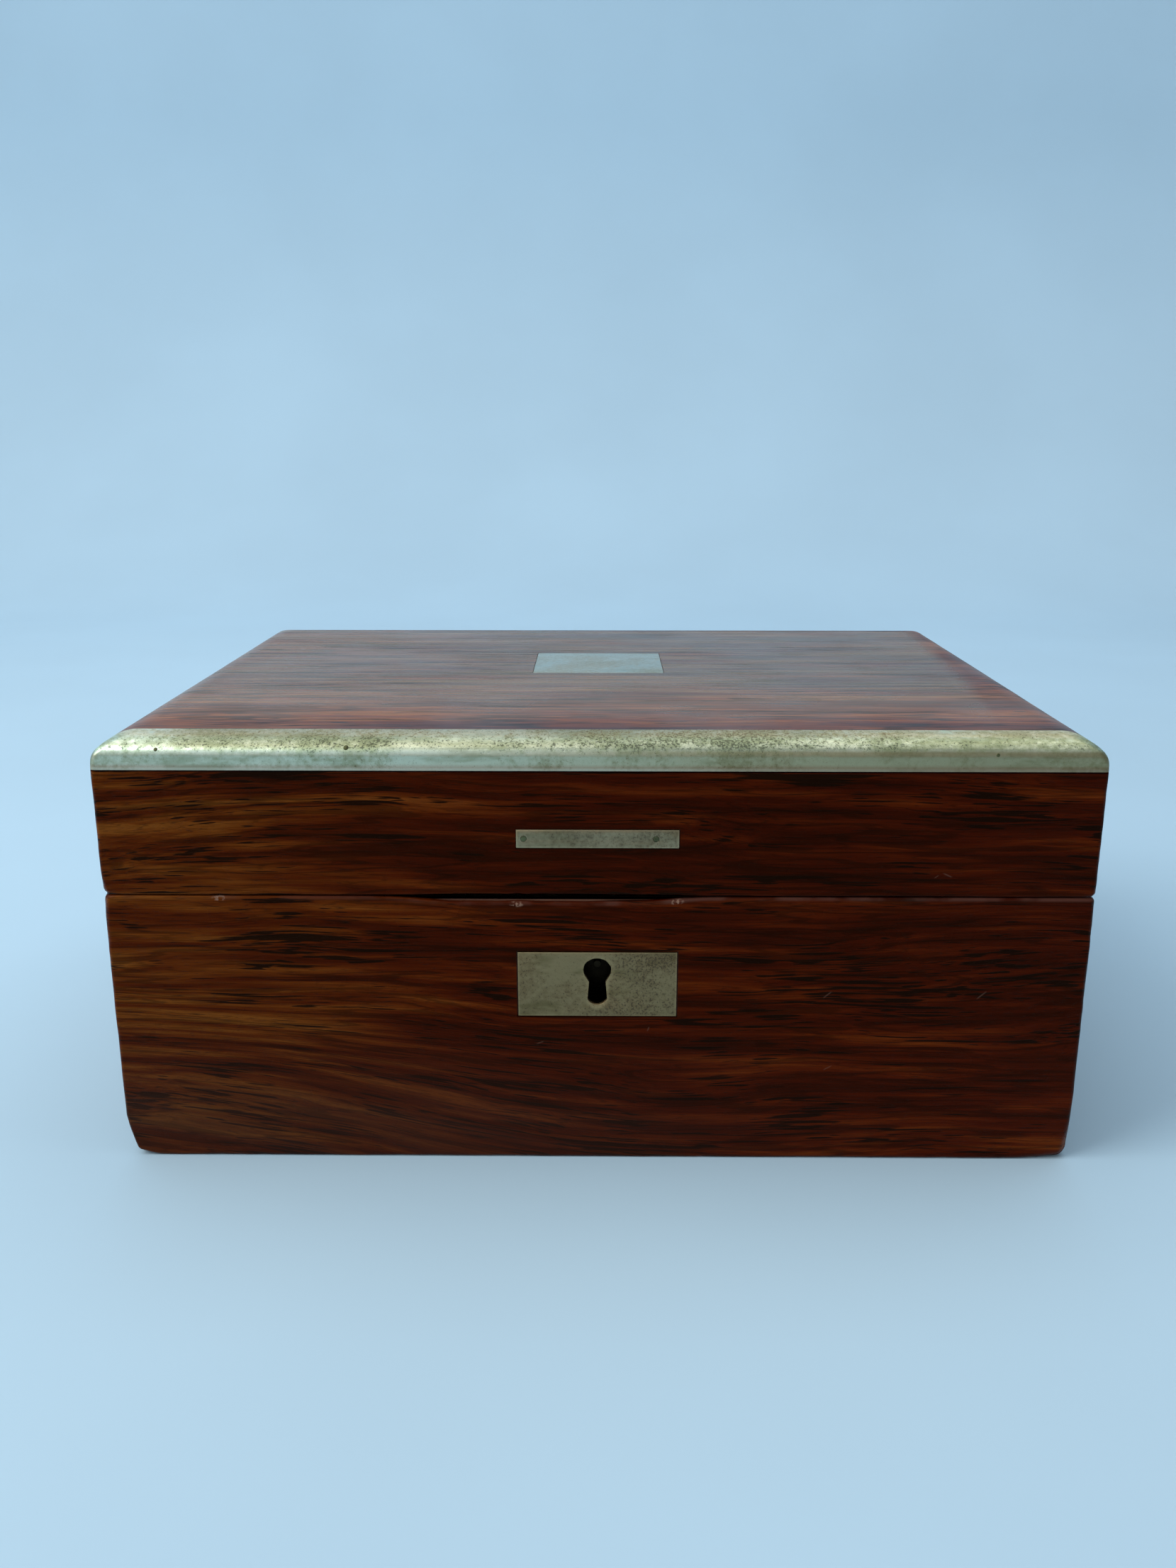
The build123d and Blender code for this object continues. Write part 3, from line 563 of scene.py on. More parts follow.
        # a pale veil over the top, partly haze in the polish and partly a painted reflection of the pale
        # backdrop; the front and the right edge are left out of it and made lighter instead
        unveiled = step(y, -20, -84) + step(x - 0.07 * y, 108, 116)
        unveiled = paint.maths("MINIMUM", unveiled * step(haze, 0.2, 0.8, 0.8, 1.2), 1)
        haze_and_reflection = step(figure + 0.6 * lines, 0.6, 1, 0.35 * sunned_with_glare, 1.7 * sunned_with_glare)
        hazed_and_reflected = mix(haze_and_reflection, shade(colour, (1.15, 1.15, 1.15)), POLISH_HAZE_AND_REFLECTION)
        colour = mix(unveiled, hazed_and_reflected, shade(colour, (1.75, 2.5, 2)))
        # painted reflection: a pale glare added over the middle of the top
        front = step(y, -78, -68)
        pale = step(y, -20, -50) * front | step(abs(x), 90, 20) * step(y, 20, -30, 0, 0.8)
        colour = mix(pale * front, colour, POLISH_GLARE, "ADD")
        # darker and redder along the front edge
        colour = shade(colour, (0.66, 0.52, 0.38), step(y, -71, -80) * step(x, 110, 40, 0.2, 1))
        # painted shade on the side bands, where the reflection breaks off at the rounded sides
        colour = shade(colour, (0.5, 0.38, 0.36), step(abs(x), HALF_W - 5, HALF_W - 1))
        rough = rough + 0.1 * unveiled
        paint.set(IOR=1.27)
    normal = paint.bump(-0.4 * drawn - (black + pore), depth)
    normal = paint.bump(paint.noise(place, 0.045, 2), 0.12 if sunned_with_glare else 0.5, normal)
    return paint.set(Base_Color=colour, Roughness=rough, Normal=normal,
                     Specular_IOR_Level=strength, Specular_Tint=tint)


def plain_wood(name, bed=None):
    """Unpolished mahogany; above the level `bed` the lining's cloth is turned under."""
    paint = Paint(name)
    place = paint.place()
    grain = paint.noise(place, (0.03, 0.5, 0.5), 6, 0.6, 0.3)
    pore = paint.step(paint.noise(place, (0.25, 5, 5), 2), 0.62, 0.7)
    colour = paint.ramp(grain, [(0.3, (0.1, 0.034, 0.016)), (0.7, (0.22, 0.085, 0.04))])
    colour = paint.mix(0.6 * pore, colour, (0.03, 0.012, 0.006))
    if bed is not None:
        above = paint.step(paint.parts(place)[2], bed - 0.4, bed - 0.2)
        colour = paint.mix(above, colour, paint.mix(grain, *CLOTH))
    return paint.set(Base_Color=colour, Roughness=paint.step(grain, 0.3, 0.7, 0.52, 0.66),
                     Normal=paint.bump(grain - pore, 0.06))


def strip_wear_and_light(paint, colour, x, z):
    """Zones of the edge strip: tarnish, a rubbed foot, and painted highlight, reflection and shade."""
    step, shade = paint.step, paint.shade
    crown = step(z, TARNISH_AND_LIGHT_BAND[0] + 1.2, TARNISH_AND_LIGHT_BAND[0] + 2.1)
    shadow = step(x, -70, 100) * step(z, TARNISH_AND_LIGHT_BAND[0] + 2.1, TARNISH_AND_LIGHT_BAND[0] + 1.2)
    colour = paint.mix(0.5 * shadow, colour, STRIP_SHADOW)
    # browner along the upper half, away from the left end; lighter again at the right end
    right = step(x, -70, 60)
    colour = shade(colour, (0.72, 0.68, 0.6), crown * step(x, -115, -100))
    colour = shade(colour, (1.35, 1.32, 1.3), crown * step(x, 10, 95))
    # painted reflection of the pale backdrop over the upper half
    colour = shade(colour, (1.5, 1.5, 1.5), crown)
    # painted shade over the lower half, growing to the right
    colour = shade(colour, (0.9, 0.8, 0.66), (1 - crown) * right)
    # a painted highlight along the shoulder, strongest at the left, and painted shade above it at the
    # right
    shoulder = step(abs(z - (STRIP_LOW + SHOULDER_RISE)), 1.3, 0.2)
    colour = shade(colour, (1.5, 1.65, 1.85), shoulder * step(x, -70, 60, 1, 0.4))
    colour = shade(colour, (0.7, 0.74, 0.8), step(abs(z - (HEIGHT - 2.6)), 1.3, 0.3) * right)
    # painted light by height: the upper edge lighter and warmer, the lower edge darker and redder; and
    # the foot is rubbed pale
    colour = shade(colour, (1.35, 1.08, 1.03), step(z, HEIGHT - 1.2, HEIGHT - 0.2))
    colour = shade(colour, (0.87, 0.68, 0.66), step(z, STRIP_LOW + 1.9, STRIP_LOW + 0.7))
    rubbed = step(z, STRIP_LOW + 1, STRIP_LOW + 0.3) * step(x, -40, 100, 0.45, 0.12)
    return paint.mix(rubbed, colour, STRIP_FOOT)


def rubbed_rims(paint, plate, clouds, x, z):
    """Where the rim of a plate and of its keyhole are rubbed bright."""
    step = paint.step
    middle, half = (plate[0] + plate[1]) / 2, (plate[1] - plate[0]) / 2
    rim = [step(abs(v - middle[axis]), half[axis] - 0.55, half[axis] - 0.15)
           for v, axis in ((x, 0), (z, 2))]
    flat = paint.vector(x, 0, z)
    eye = step(paint.distance(flat, (0, 0, EYE_Z)), EYE_RADIUS + 1.3, EYE_RADIUS + 0.1)
    foot = step(paint.distance(flat, (0, 0, FOOT_Z)), 3.5, 2.5)
    leg = step(abs(x), 3.5, 2.5) * step(z, EYE_Z - 0.5, EYE_Z - 1.5)
    leg = leg * step(z, FOOT_Z - 1.3, FOOT_Z - 0.3)
    return 0.55 * (rim[0] | rim[1]) | (leg | foot | eye) * step(clouds, 0.35, 0.6, 0.25, 0.8)


def nickel_silver(name, clean, dull, pits=1, gloss=0.3, strip=False, plate=None):
    """Worn nickel silver with tarnish and dark pits, for the strip, with its painted light and shade, or
    for a plate.
    """
    paint = Paint(name)
    step, mix = paint.step, paint.mix
    place = paint.place()
    x, _, z = paint.parts(place)
    clouds = paint.noise(place, 0.05, 5, 0.62)
    mottle = paint.noise(place, 0.6, 4, 0.6)
    tarnish = 0.62 * clouds + 0.38 * mottle
    grit = paint.noise(place, 1.7, 3, 0.62) + step(tarnish, 0.35, 0.65, -0.08, 0.05)
    if strip:
        grit = grit + step(z, *TARNISH_AND_LIGHT_BAND, -0.1, 0.03)
        grit = grit + step(x, -118, -40, -0.07, 0) + step(x, 55, 95, 0.01, -0.07)
        tarnish = tarnish + step(z, *TARNISH_AND_LIGHT_BAND, -0.05, 0.02)
    if plate is not None:
        grit = grit + step(x, -18, 14, -0.02, 0.035)
    darkened = step(tarnish, 0.4, 0.62)
    bloom = paint.noise(place, (0.045, 0.16, 0.16), 4, 0.6, shift=(7, 3, 1))
    bloomed = tuple(m * c for m, c in zip((0.4, 0.42, 0.3), clean))
    colour = mix(step(bloom, 0.5, 0.66, 0, 0.55 * pits), mix(darkened, clean, dull), bloomed)
    dots = paint.noise(place, 4.2, 1) + step(grit, 0.4, 0.6, -0.06, 0.05)
    pit = step(grit, 0.575, 0.625) | 0.8 * step(dots, 0.64, 0.69)
    colour = mix(pit * (0.6 * pits), colour, tuple(0.16 * c for c in dull))
    if strip:
        colour = strip_wear_and_light(paint, colour, x, z)
    if plate is not None:
        bright = rubbed_rims(paint, plate, clouds, x, z)
        colour = mix(0.55 * bright, colour, tuple(min(1, 1.9 * c) for c in clean))
    hairs = paint.noise(place, (0.05, 3, 3), 3, shift=(0, 4, 0))
    rough = step(darkened, 0, 1, gloss, gloss + 0.14) + 0.25 * pit + step(hairs, 0.3, 0.7, -0.04, 0.04)
    normal = paint.bump(clouds, 0.5, paint.bump(0.5 * mottle - pit, 0.05))
    metallic = step(pit, 0, 1, 1, 0.55)
    return paint.set(Base_Color=colour, Metallic=metallic, Roughness=rough, Normal=normal)


def aged_metal(name, clean, dull, rough, brushed, shaded_inside=False):
    """Aged brass or steel: rubbed bright in places and browned in others.

    For the lock, the metal deep inside is painted near-black as painted shade, and keeps its colour near
    the lock's face and above the top of its cap.
    """
    paint = Paint(name)
    place = paint.place()
    clouds = paint.noise(place, 0.16, 5, 0.6)
    lines = paint.noise(place, brushed, 3, 0.55)
    spots = paint.step(paint.noise(place, 1.4, 2), 0.62, 0.7)
    colour = paint.mix(paint.step(clouds, 0.38, 0.64), clean, dull)
    colour = paint.mix(0.6 * spots, colour, BROWN_SPOT)
    if shaded_inside:
        # painted shade: the lock's inside is near-black, with a grey specular tint
        _, y, z = paint.parts(place)
        deep = paint.step(y, LOCK_FACE - 0.3, LOCK_FACE - 0.6)
        below = paint.step(z, LOCK_ROOF + 0.1, LOCK_ROOF - 0.2)
        colour = paint.mix(0.985 * (deep * below), colour, LOCK_INSIDE_SHADE)
        paint.set(Specular_Tint=(0.2, 0.2, 0.2))
    rough = paint.step(clouds, 0.35, 0.65, *rough) + paint.step(lines, 0.3, 0.7, -0.05, 0.07)
    normal = paint.bump(lines - spots, 0.02)
    return paint.set(Base_Color=colour, Metallic=1, Roughness=rough, Normal=normal)


def velvet(name, worn, full):
    """Faded short-pile velvet, between a worn and a full colour."""
    paint = Paint(name)
    step = paint.step
    place = paint.place()
    pile = paint.noise(place, 2.6, 4, 0.7)
    brushed = paint.noise(place, (0.25, 1.1, 1.1), 4, 0.6, turn=28)
    crush = paint.noise(place, 0.07, 5, 0.6, 0.8)
    level = 0.42 * crush + 0.58 * paint.noise(place, 0.014, 2)
    lint = step(pile, 0.25, 0.75, 0.62, 1.34) * step(brushed, 0.3, 0.7, 0.86, 1.14)
    colour = paint.shade(paint.ramp(level, [(0.34, worn), (0.66, full)]), lint)
    fluff = step(paint.noise(place, 0.9, 2, 0.6), 0.7, 0.76)
    colour = paint.mix(0.35 * fluff, colour, FLUFF)
    return paint.set(Base_Color=colour, Roughness=step(crush, 0.3, 0.7, 0.78, 0.92),
                     Normal=paint.bump(crush, 0.7, paint.bump(pile, 0.3)), Specular_IOR_Level=0.12,
                     Sheen_Weight=0.45, Sheen_Roughness=0.32, Sheen_Tint=(0.8, 0.42, 0.5))


# the top and the edging: bleached wood under a veil that is partly a painted reflection
SUNNED_WITH_GLARE = dict(seed=4.3, shine=(0.19, 0.27), lift=0.05, gain=1.3, depth=0.002, soft=0.45, sunned_with_glare=0.34)
ROSEWOOD = rosewood("rosewood_front")
ROSEWOOD_TOP = rosewood("rosewood_top", tint=(1, 0.95, 0.92), strength=0.5, **SUNNED_WITH_GLARE)
ROSEWOOD_BACK = rosewood("rosewood_back", seed=9.1)
ROSEWOOD_SIDE = rosewood("rosewood_side", "Y", seed=2.7)
ROSEWOOD_RIM = rosewood("rosewood_rim", "rim", seed=6.4, lift=0.03)
ROSEWOOD_EDGE = rosewood("rosewood_edging", tint=(0.95, 1, 0.98), strength=0.6, **SUNNED_WITH_GLARE)
MAHOGANY = plain_wood("carcass_mahogany")
FLOOR_BOARD = plain_wood("floor_board_mahogany", limits("base_bottom_board")[1][2])
LID_BOARD = plain_wood("lid_board_mahogany", limits("lid_top_board")[0][2])
STRIP_SILVER = nickel_silver("strip_silver", (0.57, 0.62, 0.48), (0.31, 0.355, 0.23), 1, 0.34, strip=True)
PLATE_SILVER = nickel_silver("plate_silver", (0.62, 0.62, 0.52), (0.46, 0.46, 0.38), 0.4, 0.3)
SHIELD_SILVER = nickel_silver("escutcheon_silver", (0.252, 0.187, 0.095), (0.19, 0.14, 0.071),
                              0.95, 0.38, plate=limits("escutcheon"))
BAR_SILVER = nickel_silver("bar_silver", (0.29, 0.24, 0.145), (0.175, 0.148, 0.09),
                           0.6, 0.36, plate=limits("lid_bar"))
PIN_SILVER = nickel_silver("pin_silver", (0.13, 0.14, 0.07), (0.075, 0.08, 0.042), 0.8, 0.4)
BRASS_TONES = ((0.62, 0.42, 0.17), (0.24, 0.14, 0.05))
BRASS = aged_metal("aged_brass", *BRASS_TONES, (0.28, 0.48), (0.3, 4, 4))
STEEL = aged_metal("aged_steel", (0.42, 0.4, 0.37), (0.16, 0.13, 0.11), (0.32, 0.5), (0.3, 5, 5))
LOCK_BRASS = aged_metal("lock_brass", *BRASS_TONES, (0.3, 0.48), (0.3, 4, 4), shaded_inside=True)
VELVET = velvet("plum_velvet", (0.062, 0.01, 0.02), (0.105, 0.024, 0.04))


# --- wooden sheets

def beside(hole):
    """A test for what lies outside a rectangular hole that is cut through along Y."""
    (low_x, _, low_z), (high_x, _, high_z) = hole
    return lambda x, y, z: ~((x > low_x) & (x < high_x) & (z > low_z) & (z < high_z))


def sheet(node, points, faces, material, body, slot="rosewood"):
    piece = new_piece(f"worn_{node}", points, faces, material, body, slot)
    sharp_edges(piece, 50)
    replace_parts(piece, node)


def front_sheet(node, inlay, gap, body):
    """The front veneer of the base or lid, with its opening for an inlaid plate."""
    low, high = limits(node)
    hole_low, hole_high = limits(inlay)
    hole = (hole_low - gap, hole_high + gap)
    chips = [place[0] for place in CHIPS]
    axes = (
        spread(low[0], high[0], 0.28, 5, 2.6, (hole[0][0], hole[1][0], *chips)),
        np.linspace(low[1], high[1], 5),
        spread(low[2], high[2], 0.24, 4, 2.2, (hole[0][2], hole[1][2])),
    )
    points, faces = lattice(axes, beside(hole))
    sheet(node, worn(points, body), faces, ROSEWOOD, body)


def other_sheet(node, material, body):
    """A side or back veneer, bevelled at the rear of the joint."""
    low, high = limits(node)
    axes = [spread(a, b, 0.3, 6, 2.4) if b - a > 2 else np.linspace(a, b, 5)
            for a, b in zip(low[:2], high[:2])]
    points, faces = lattice((*axes, spread(low[2], high[2], 0.26, 5, 2.2)))
    sheet(node, worn(bevelled(points, body), body), faces, material, body)


def bevelled(points, body):
    """Press the rim down, or up, along the bevel behind the hinge line."""
    behind = np.maximum(0, points[:, 1] - HINGE_Y) * BEVEL_SLOPE
    moved = points.copy()
    if body == "base":
        moved[:, 2] = np.minimum(points[:, 2], JOINT_Z - behind)
    else:
        moved[:, 2] = np.maximum(points[:, 2], JOINT_Z + behind)
    return moved


def worn_board(node):
    """A board of the base, worn at its foot with the veneer over it."""
    board = NODES[node]
    faces = [list(p.vertices) for p in board.data.polygons]
    points = worn_foot(places_of(board))
    piece = new_piece(f"worn_{node}", points, faces, MAHOGANY, "base", "carcass_wood", False)
    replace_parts(piece, node)


def worn_bottom(node):
    """The bottom board, which shows at the worn corners and from below."""
    low, high = limits(node)
    axes = [spread(a, b, 0.7, 9, 6) for a, b in zip(low[:2], high[:2])]
    points, faces = lattice((*axes, np.linspace(low[2], high[2], 5)))
    inner = np.array([HALF_W - 0.8, HALF_D - 0.8, BASE_TOP])
    points = rounded(points, -inner * (1, 1, 0), inner, edge_radius(points, BASE_TOP, True))
    sheet(node, worn_foot(points), faces, FLOOR_BOARD, "base", "carcass_wood")


# --- the rounded upper edges of the lid

class Rounding:
    """Two arcs that meet smoothly, tight at the side and flat on top."""

    def __init__(self, across, down, tight):
        self.across, self.down, self.tight = across, down, tight
        self.flat = ((across - tight) ** 2 + down**2 - tight**2) / (2 * (down - tight))
        self.turn = atan2(self.flat - down, across - tight)

    def levels(self, count):
        """Heights below the top, evenly spread along the curve."""
        upper = [self.flat * (1 - sin(a)) for a in np.linspace(self.turn, pi / 2, count)]
        lower = [self.down - self.tight * sin(a) for a in np.linspace(0, self.turn, count)]
        return upper + lower

    def inset(self, below):
        """How far the curve lies inside the side, at a height below the top."""
        if below >= self.down:
            return 0
        if below > self.flat * (1 - sin(self.turn)):
            return self.tight - sqrt(max(0, self.tight**2 - (self.down - below) ** 2))
        return self.across - sqrt(max(0, self.flat**2 - (self.flat - below) ** 2))


FRONT_CURVE = Rounding(*FRONT_ROUND)
SIDE_CURVE = Rounding(*SIDE_ROUND)


def lid_rows(low):
    """Heights for the rows of the lid's rounded edges, from the low edge up."""
    below = FRONT_CURVE.levels(9) + SIDE_CURVE.levels(9) + list(np.linspace(HEIGHT - low, 5.2, 6))
    below = set(np.round(below, 3))
    rows = sorted(HEIGHT - b for b in below if 0 <= b <= HEIGHT - low)
    kept = [rows[0]]
    for z in rows[1:]:
        if z - kept[-1] > 0.02:
            kept.append(z)
    kept[-1] = HEIGHT
    return kept


def outline_point(z, side, end):
    """A corner of the lid's outline at a height, or a place on its side."""
    below = HEIGHT - z
    x = side * (HALF_W - SIDE_CURVE.inset(below))
    if end == "front":
        return x, FRONT_CURVE.inset(below) - HALF_D, z
    return x, HALF_D - SIDE_CURVE.inset(below) if end == "back" else end, z


def net_between(low, first, last, shares):
    """A net up from a height, between two corners of the outline."""
    rows = []
    for z in lid_rows(low):
        a, b = np.array(outline_point(z, *first)), np.array(outline_point(z, *last))
        rows.append(a + (b - a) * shares[:, None])
    return np.array(rows)


def fine_at_both(count):
    t = np.linspace(0, 1, count)
    return t - 0.85 * np.sin(2 * pi * t) / (2 * pi)


def fine_at_first(count):
    return np.linspace(0, 1, count) ** 1.8


def top_row(net, axis, place, ends=None):
    """Add the flat row behind the rounding, with its ends on a mitre if given."""
    flat = net[-1].copy()
    flat[:, axis] = place
    if ends is not None:
        along = flat[:, 1 - axis]
        share = (along - along[0]) / (along[-1] - along[0])
        flat[:, 1 - axis] = ends[0] + (ends[1] - ends[0]) * share
    return np.concatenate([net, flat[None]])


def strip_surface():
    """The metal over the front edge and its two ends."""
    front = net_between(STRIP_LOW, (-1, "front"), (1, "front"), fine_at_both(181))
    points, faces = grid(top_row(front, 1, STRIP_BACK))
    for side in (-1, 1):
        net = net_between(STRIP_LOW, (side, "front"), (side, STRIP_BACK), fine_at_first(25))
        more, loops = grid(net)
        faces = np.concatenate([faces, loops[:, ::side] + len(points)])
        points = np.concatenate([points, more])
    return points, faces


def side_edging(side):
    net = net_between(EDGING_LOW, (side, "back"), (side, STRIP_BACK), fine_at_first(91))
    points, faces = grid(top_row(net, 0, side * (HALF_W - EDGING_IN), (HALF_D - EDGING_IN, STRIP_BACK)))
    return points, faces[:, ::side]


def back_edging():
    net = net_between(EDGING_LOW, (-1, "back"), (1, "back"), fine_at_both(121))
    points, faces = grid(top_row(net, 1, HALF_D - EDGING_IN, (EDGING_IN - HALF_W, HALF_W - EDGING_IN)))
    return points, faces[:, ::-1]


def plan_rounded(points):
    """Round the lid's plan, more towards the top in front and less behind."""
    below = np.round(HEIGHT - points[:, 2], 6)
    front = np.array([FRONT_CURVE.inset(b) for b in below])
    side = np.array([SIDE_CURVE.inset(b) for b in below])
    low = np.stack([side - HALF_W, front - HALF_D], 1)
    high = np.stack([HALF_W - side, HALF_D - side], 1)
    share = np.clip((points[:, 2] - STRIP_LOW) / (HEIGHT - STRIP_LOW), 0, 1)
    soft = UPRIGHT_ROUND + np.where(points[:, 1] < 0, 1.6, -0.6) * share
    room = np.minimum(side - SIDE_ROUND[0], front - FRONT_ROUND[0])
    soft = np.minimum(soft, 0.02 + 0.9 * np.maximum(0, -room))[:, None]
    plan = points[:, :2]
    moved = points.copy()
    moved[:, :2] = pulled(plan, np.clip(plan, low + soft, high - soft), soft)
    return moved


def edge_piece(name, surface, thickness, material, slot, dents):
    """A rounded edge as a closed shell, softened at its corners and dented."""
    points, faces = surface
    points = plan_rounded(points)
    middle = np.array([0, 0, HEIGHT - 12])
    inward = (middle - points) / norm(middle - points, axis=1, keepdims=True)
    ends = np.clip((points[:, 2] - STRIP_LOW) / 2, 0, 1)[:, None]
    bumps = dents * ripple(points, 17, 5) + 0.5 * dents * ripple(points, 6, 8)
    points = points + inward * ends * np.maximum(-0.02, bumps)[:, None]
    piece = new_piece(f"worn_{name}", *weld(points, faces), material, "lid", slot)
    if sum((f.center - Vector(middle) * MM).dot(f.normal) for f in piece.data.polygons) < 0:
        piece.data.flip_normals()
    adjust(piece.modifiers.new("shell", "SOLIDIFY"), thickness=thickness * MM, offset=-1)
    apply_modifiers(piece)
    sharp_edges(piece, 40)
    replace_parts(piece, f"lid_{name}")


# --- metal plates

def soft_copy(node, width, material, body, slot, reshape=None):
    """A copy of a CAD node with its edges rubbed round."""
    piece = add_object(f"worn_{node}", NODES[node].data.copy())
    mesh = bmesh.new()
    mesh.from_mesh(piece.data)
    bmesh.ops.remove_doubles(mesh, verts=mesh.verts, dist=0.002 * MM)
    bmesh.ops.dissolve_limit(mesh, angle_limit=radians(1), verts=mesh.verts, edges=mesh.edges)
    mesh.to_mesh(piece.data)
    mesh.free()
    if reshape is not None:
        move_to(piece, reshape(places_of(piece)))
    adjust(piece.modifiers.new("bevel", "BEVEL"), width=width * MM, segments=3,
           limit_method="ANGLE", angle_limit=radians(50))
    belong(piece, material, body, slot)
    apply_modifiers(piece)
    sharp_edges(piece, 35)
    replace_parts(piece, node)


def worn_keyhole(points):
    """The escutcheon's keyhole, worn flatter above and uneven all round."""
    near = (np.abs(points[:, 0]) < EYE_RADIUS + 0.4) & (np.abs(points[:, 2] - EYE_Z + 3) < 7.5)
    above = near & (points[:, 2] > EYE_Z)
    moved = points.copy()
    moved[above, 2] = EYE_Z + 0.9 * (points[above, 2] - EYE_Z)
    worn = ripple(points * (1, 0, 1), 1.6, 4.4)
    moved[near, 0] *= (1 + 0.05 * worn)[near]
    moved[near, 2] += (0.1 * worn)[near]
    return moved


# --- screws and pins

def lathe(profile, count):
    """Turn a profile of (radius, height) round Z, from axis to axis."""
    angles = [2 * pi * k / count for k in range(count)]
    points = [(r * cos(a), r * sin(a), z) for r, z in profile[1:-1] for a in angles]
    first, last = len(points), len(points) + 1
    points += [(0, 0, profile[0][1]), (0, 0, profile[-1][1])]
    faces = []
    for k in range(count):
        after = (k + 1) % count
        faces.append((first, k, after))
        for a in range(0, first - count, count):
            faces.append((a + k, a + count + k, a + count + after, a + after))
        faces.append((last, first - count + after, first - count + k))
    return points, faces


def box_points(across, along, low, high):
    corners = [(x, y, z) for x in (-across, across) for y in (-along, along) for z in (low, high)]
    return corners, [(0, 1, 3, 2), (4, 6, 7, 5), (0, 4, 5, 1), (2, 3, 7, 6), (0, 2, 6, 4), (1, 5, 7, 3)]


def cut(*forms):
    """One form less another, worked out at a thousand times their size."""
    things = []
    for points, faces in forms:
        mesh = bpy.data.meshes.new("loose")
        mesh.from_pydata(points, [], faces)
        things.append(add_object("loose", mesh))
    whole, tool = things
    adjust(whole.modifiers.new("cut", "BOOLEAN"), operation="DIFFERENCE", solver="EXACT", object=tool)
    apply_modifiers(whole)
    points = [tuple(v.co) for v in whole.data.vertices]
    faces = [tuple(p.vertices) for p in whole.data.polygons]
    for thing in things:
        bpy.data.objects.remove(thing)
    return points, faces


def screw_form(head, shank, sink, length):
    """A countersunk wood screw with a slotted head, its top at height 0."""
    profile = [
        (0, 0), (0.55 * head, -0.01), (0.88 * head, -0.04), (0.98 * head, -0.09),
        (0.98 * head, -0.16), (0.95 * shank, -sink), (0.9 * shank, -0.75 * length), (0, -length),
    ]
    return cut(lathe(profile, 32), box_points(2 * head, 0.13 * head, -0.32, 1))


def pin_form(radius):
    """The filed head of a fixing pin."""
    shares = [(0, 0.09), (0.5, 0.08), (0.85, 0.04), (1, -0.05), (1, -1.2), (0, -1.4)]
    return lathe([(share * radius, height) for share, height in shares], 20)


def set_out(name, form, places, facing, turns, material, body, slot):
    """Copies of a form at the places, each turned about the way it faces."""
    upright = Vector(facing).normalized().to_track_quat("Z", "Y")
    points, faces = [], []
    for place, turn in zip(places, turns):
        spin = Euler((0, 0, radians(turn))).to_quaternion()
        start = len(points)
        points += [tuple(upright @ (spin @ Vector(p)) + Vector(place)) for p in form[0]]
        faces += [tuple(i + start for i in f) for f in form[1]]
    sharp_edges(new_piece(name, points, faces, material, body, slot), 30)


# --- linings

def lining_card(node, body, notch=None):
    """A card covered with cloth, soft-edged and faintly uneven."""
    low, high = limits(node)
    thin = int(np.argmin(high - low))
    stops = [(), (), ()]
    if notch is not None:
        stops[0], stops[2] = (notch[0][0], notch[1][0]), (notch[0][2],)
    axes = [spread(low[axis], high[axis], 0.35, 4, 1.4, stops[axis]) for axis in range(3)]
    axes[thin] = np.linspace(low[thin], high[thin], 4)
    points, faces = lattice(axes, beside(notch) if notch else None)
    points = rounded(points, low, high, 0.6)
    middle = (low + high) / 2
    inner = -1 if middle[thin] > 0 else 1
    share = np.clip(inner * (points[:, thin] - middle[thin]) / (high[thin] - low[thin]) + 0.5, 0, 1)
    points[:, thin] -= inner * share * 0.16 * (1 + ripple(points, 21, 2.2))
    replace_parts(new_piece(f"covered_{node}", points, faces, VELVET, body, "lining"), node)


PAD_CELL = 4.5
PAD_STEPS = 20
PAD_CAP = 2.6  # how far a point of a pad may move


def pad_start(node, facing):
    """The net of a pad before it is filled."""
    low, high = limits(node)
    low, high = low + (0.15, 0.15, 0), high - (0.15, 0.15, 0)
    thick = 0.52 * (high[2] - low[2])
    if facing > 0:
        high[2] = low[2] + thick
    else:
        low[2] = high[2] - thick
    axes = [np.linspace(a, b, max(2, round((b - a) / PAD_CELL)) + 1) for a, b in zip(low, high)]
    points, faces = lattice(axes)
    return rounded(points, low, high, 0.5), faces, low[2] if facing > 0 else high[2]


def fill(piece, held):
    """Blow the pad up as cloth, with the points in `held` fixed."""
    piece.vertex_groups.new(name="held").add([int(i) for i in held], 1, "REPLACE")
    cloth = piece.modifiers.new("filling", "CLOTH")
    adjust(cloth.settings, use_pressure=True, uniform_pressure_force=4, vertex_group_mass="held",
           tension_stiffness=12, compression_stiffness=12, shear_stiffness=5,
           bending_stiffness=0.4, shrink_min=-0.03)
    cloth.settings.effector_weights.gravity = 0
    adjust(cloth.point_cache, frame_start=1, frame_end=PAD_STEPS)
    for step in range(1, PAD_STEPS + 1):
        SCENE.frame_set(step)
    apply_modifiers(piece)
    SCENE.frame_set(1)
    piece.vertex_groups.clear()


def velvet_pad(name, node, body, facing):
    """A padded panel: simulated, kept in its place, then subdivided."""
    points, faces, rest = pad_start(node, facing)
    low, high = limits(node)
    piece = new_piece(name, points, faces, VELVET, body, "lining")
    fill(piece, np.nonzero(np.abs(points[:, 2] - rest) < 0.05)[0])
    blown = pulled(places_of(piece), points, PAD_CAP)
    move_to(piece, np.clip(blown, low + 0.05, high - 0.05))
    piece.data.update()
    adjust(piece.modifiers.new("finer", "SUBSURF"), levels=1, render_levels=1)
    apply_modifiers(piece)
    dress(piece, VELVET)
    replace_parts(piece, node)


# --- assembly

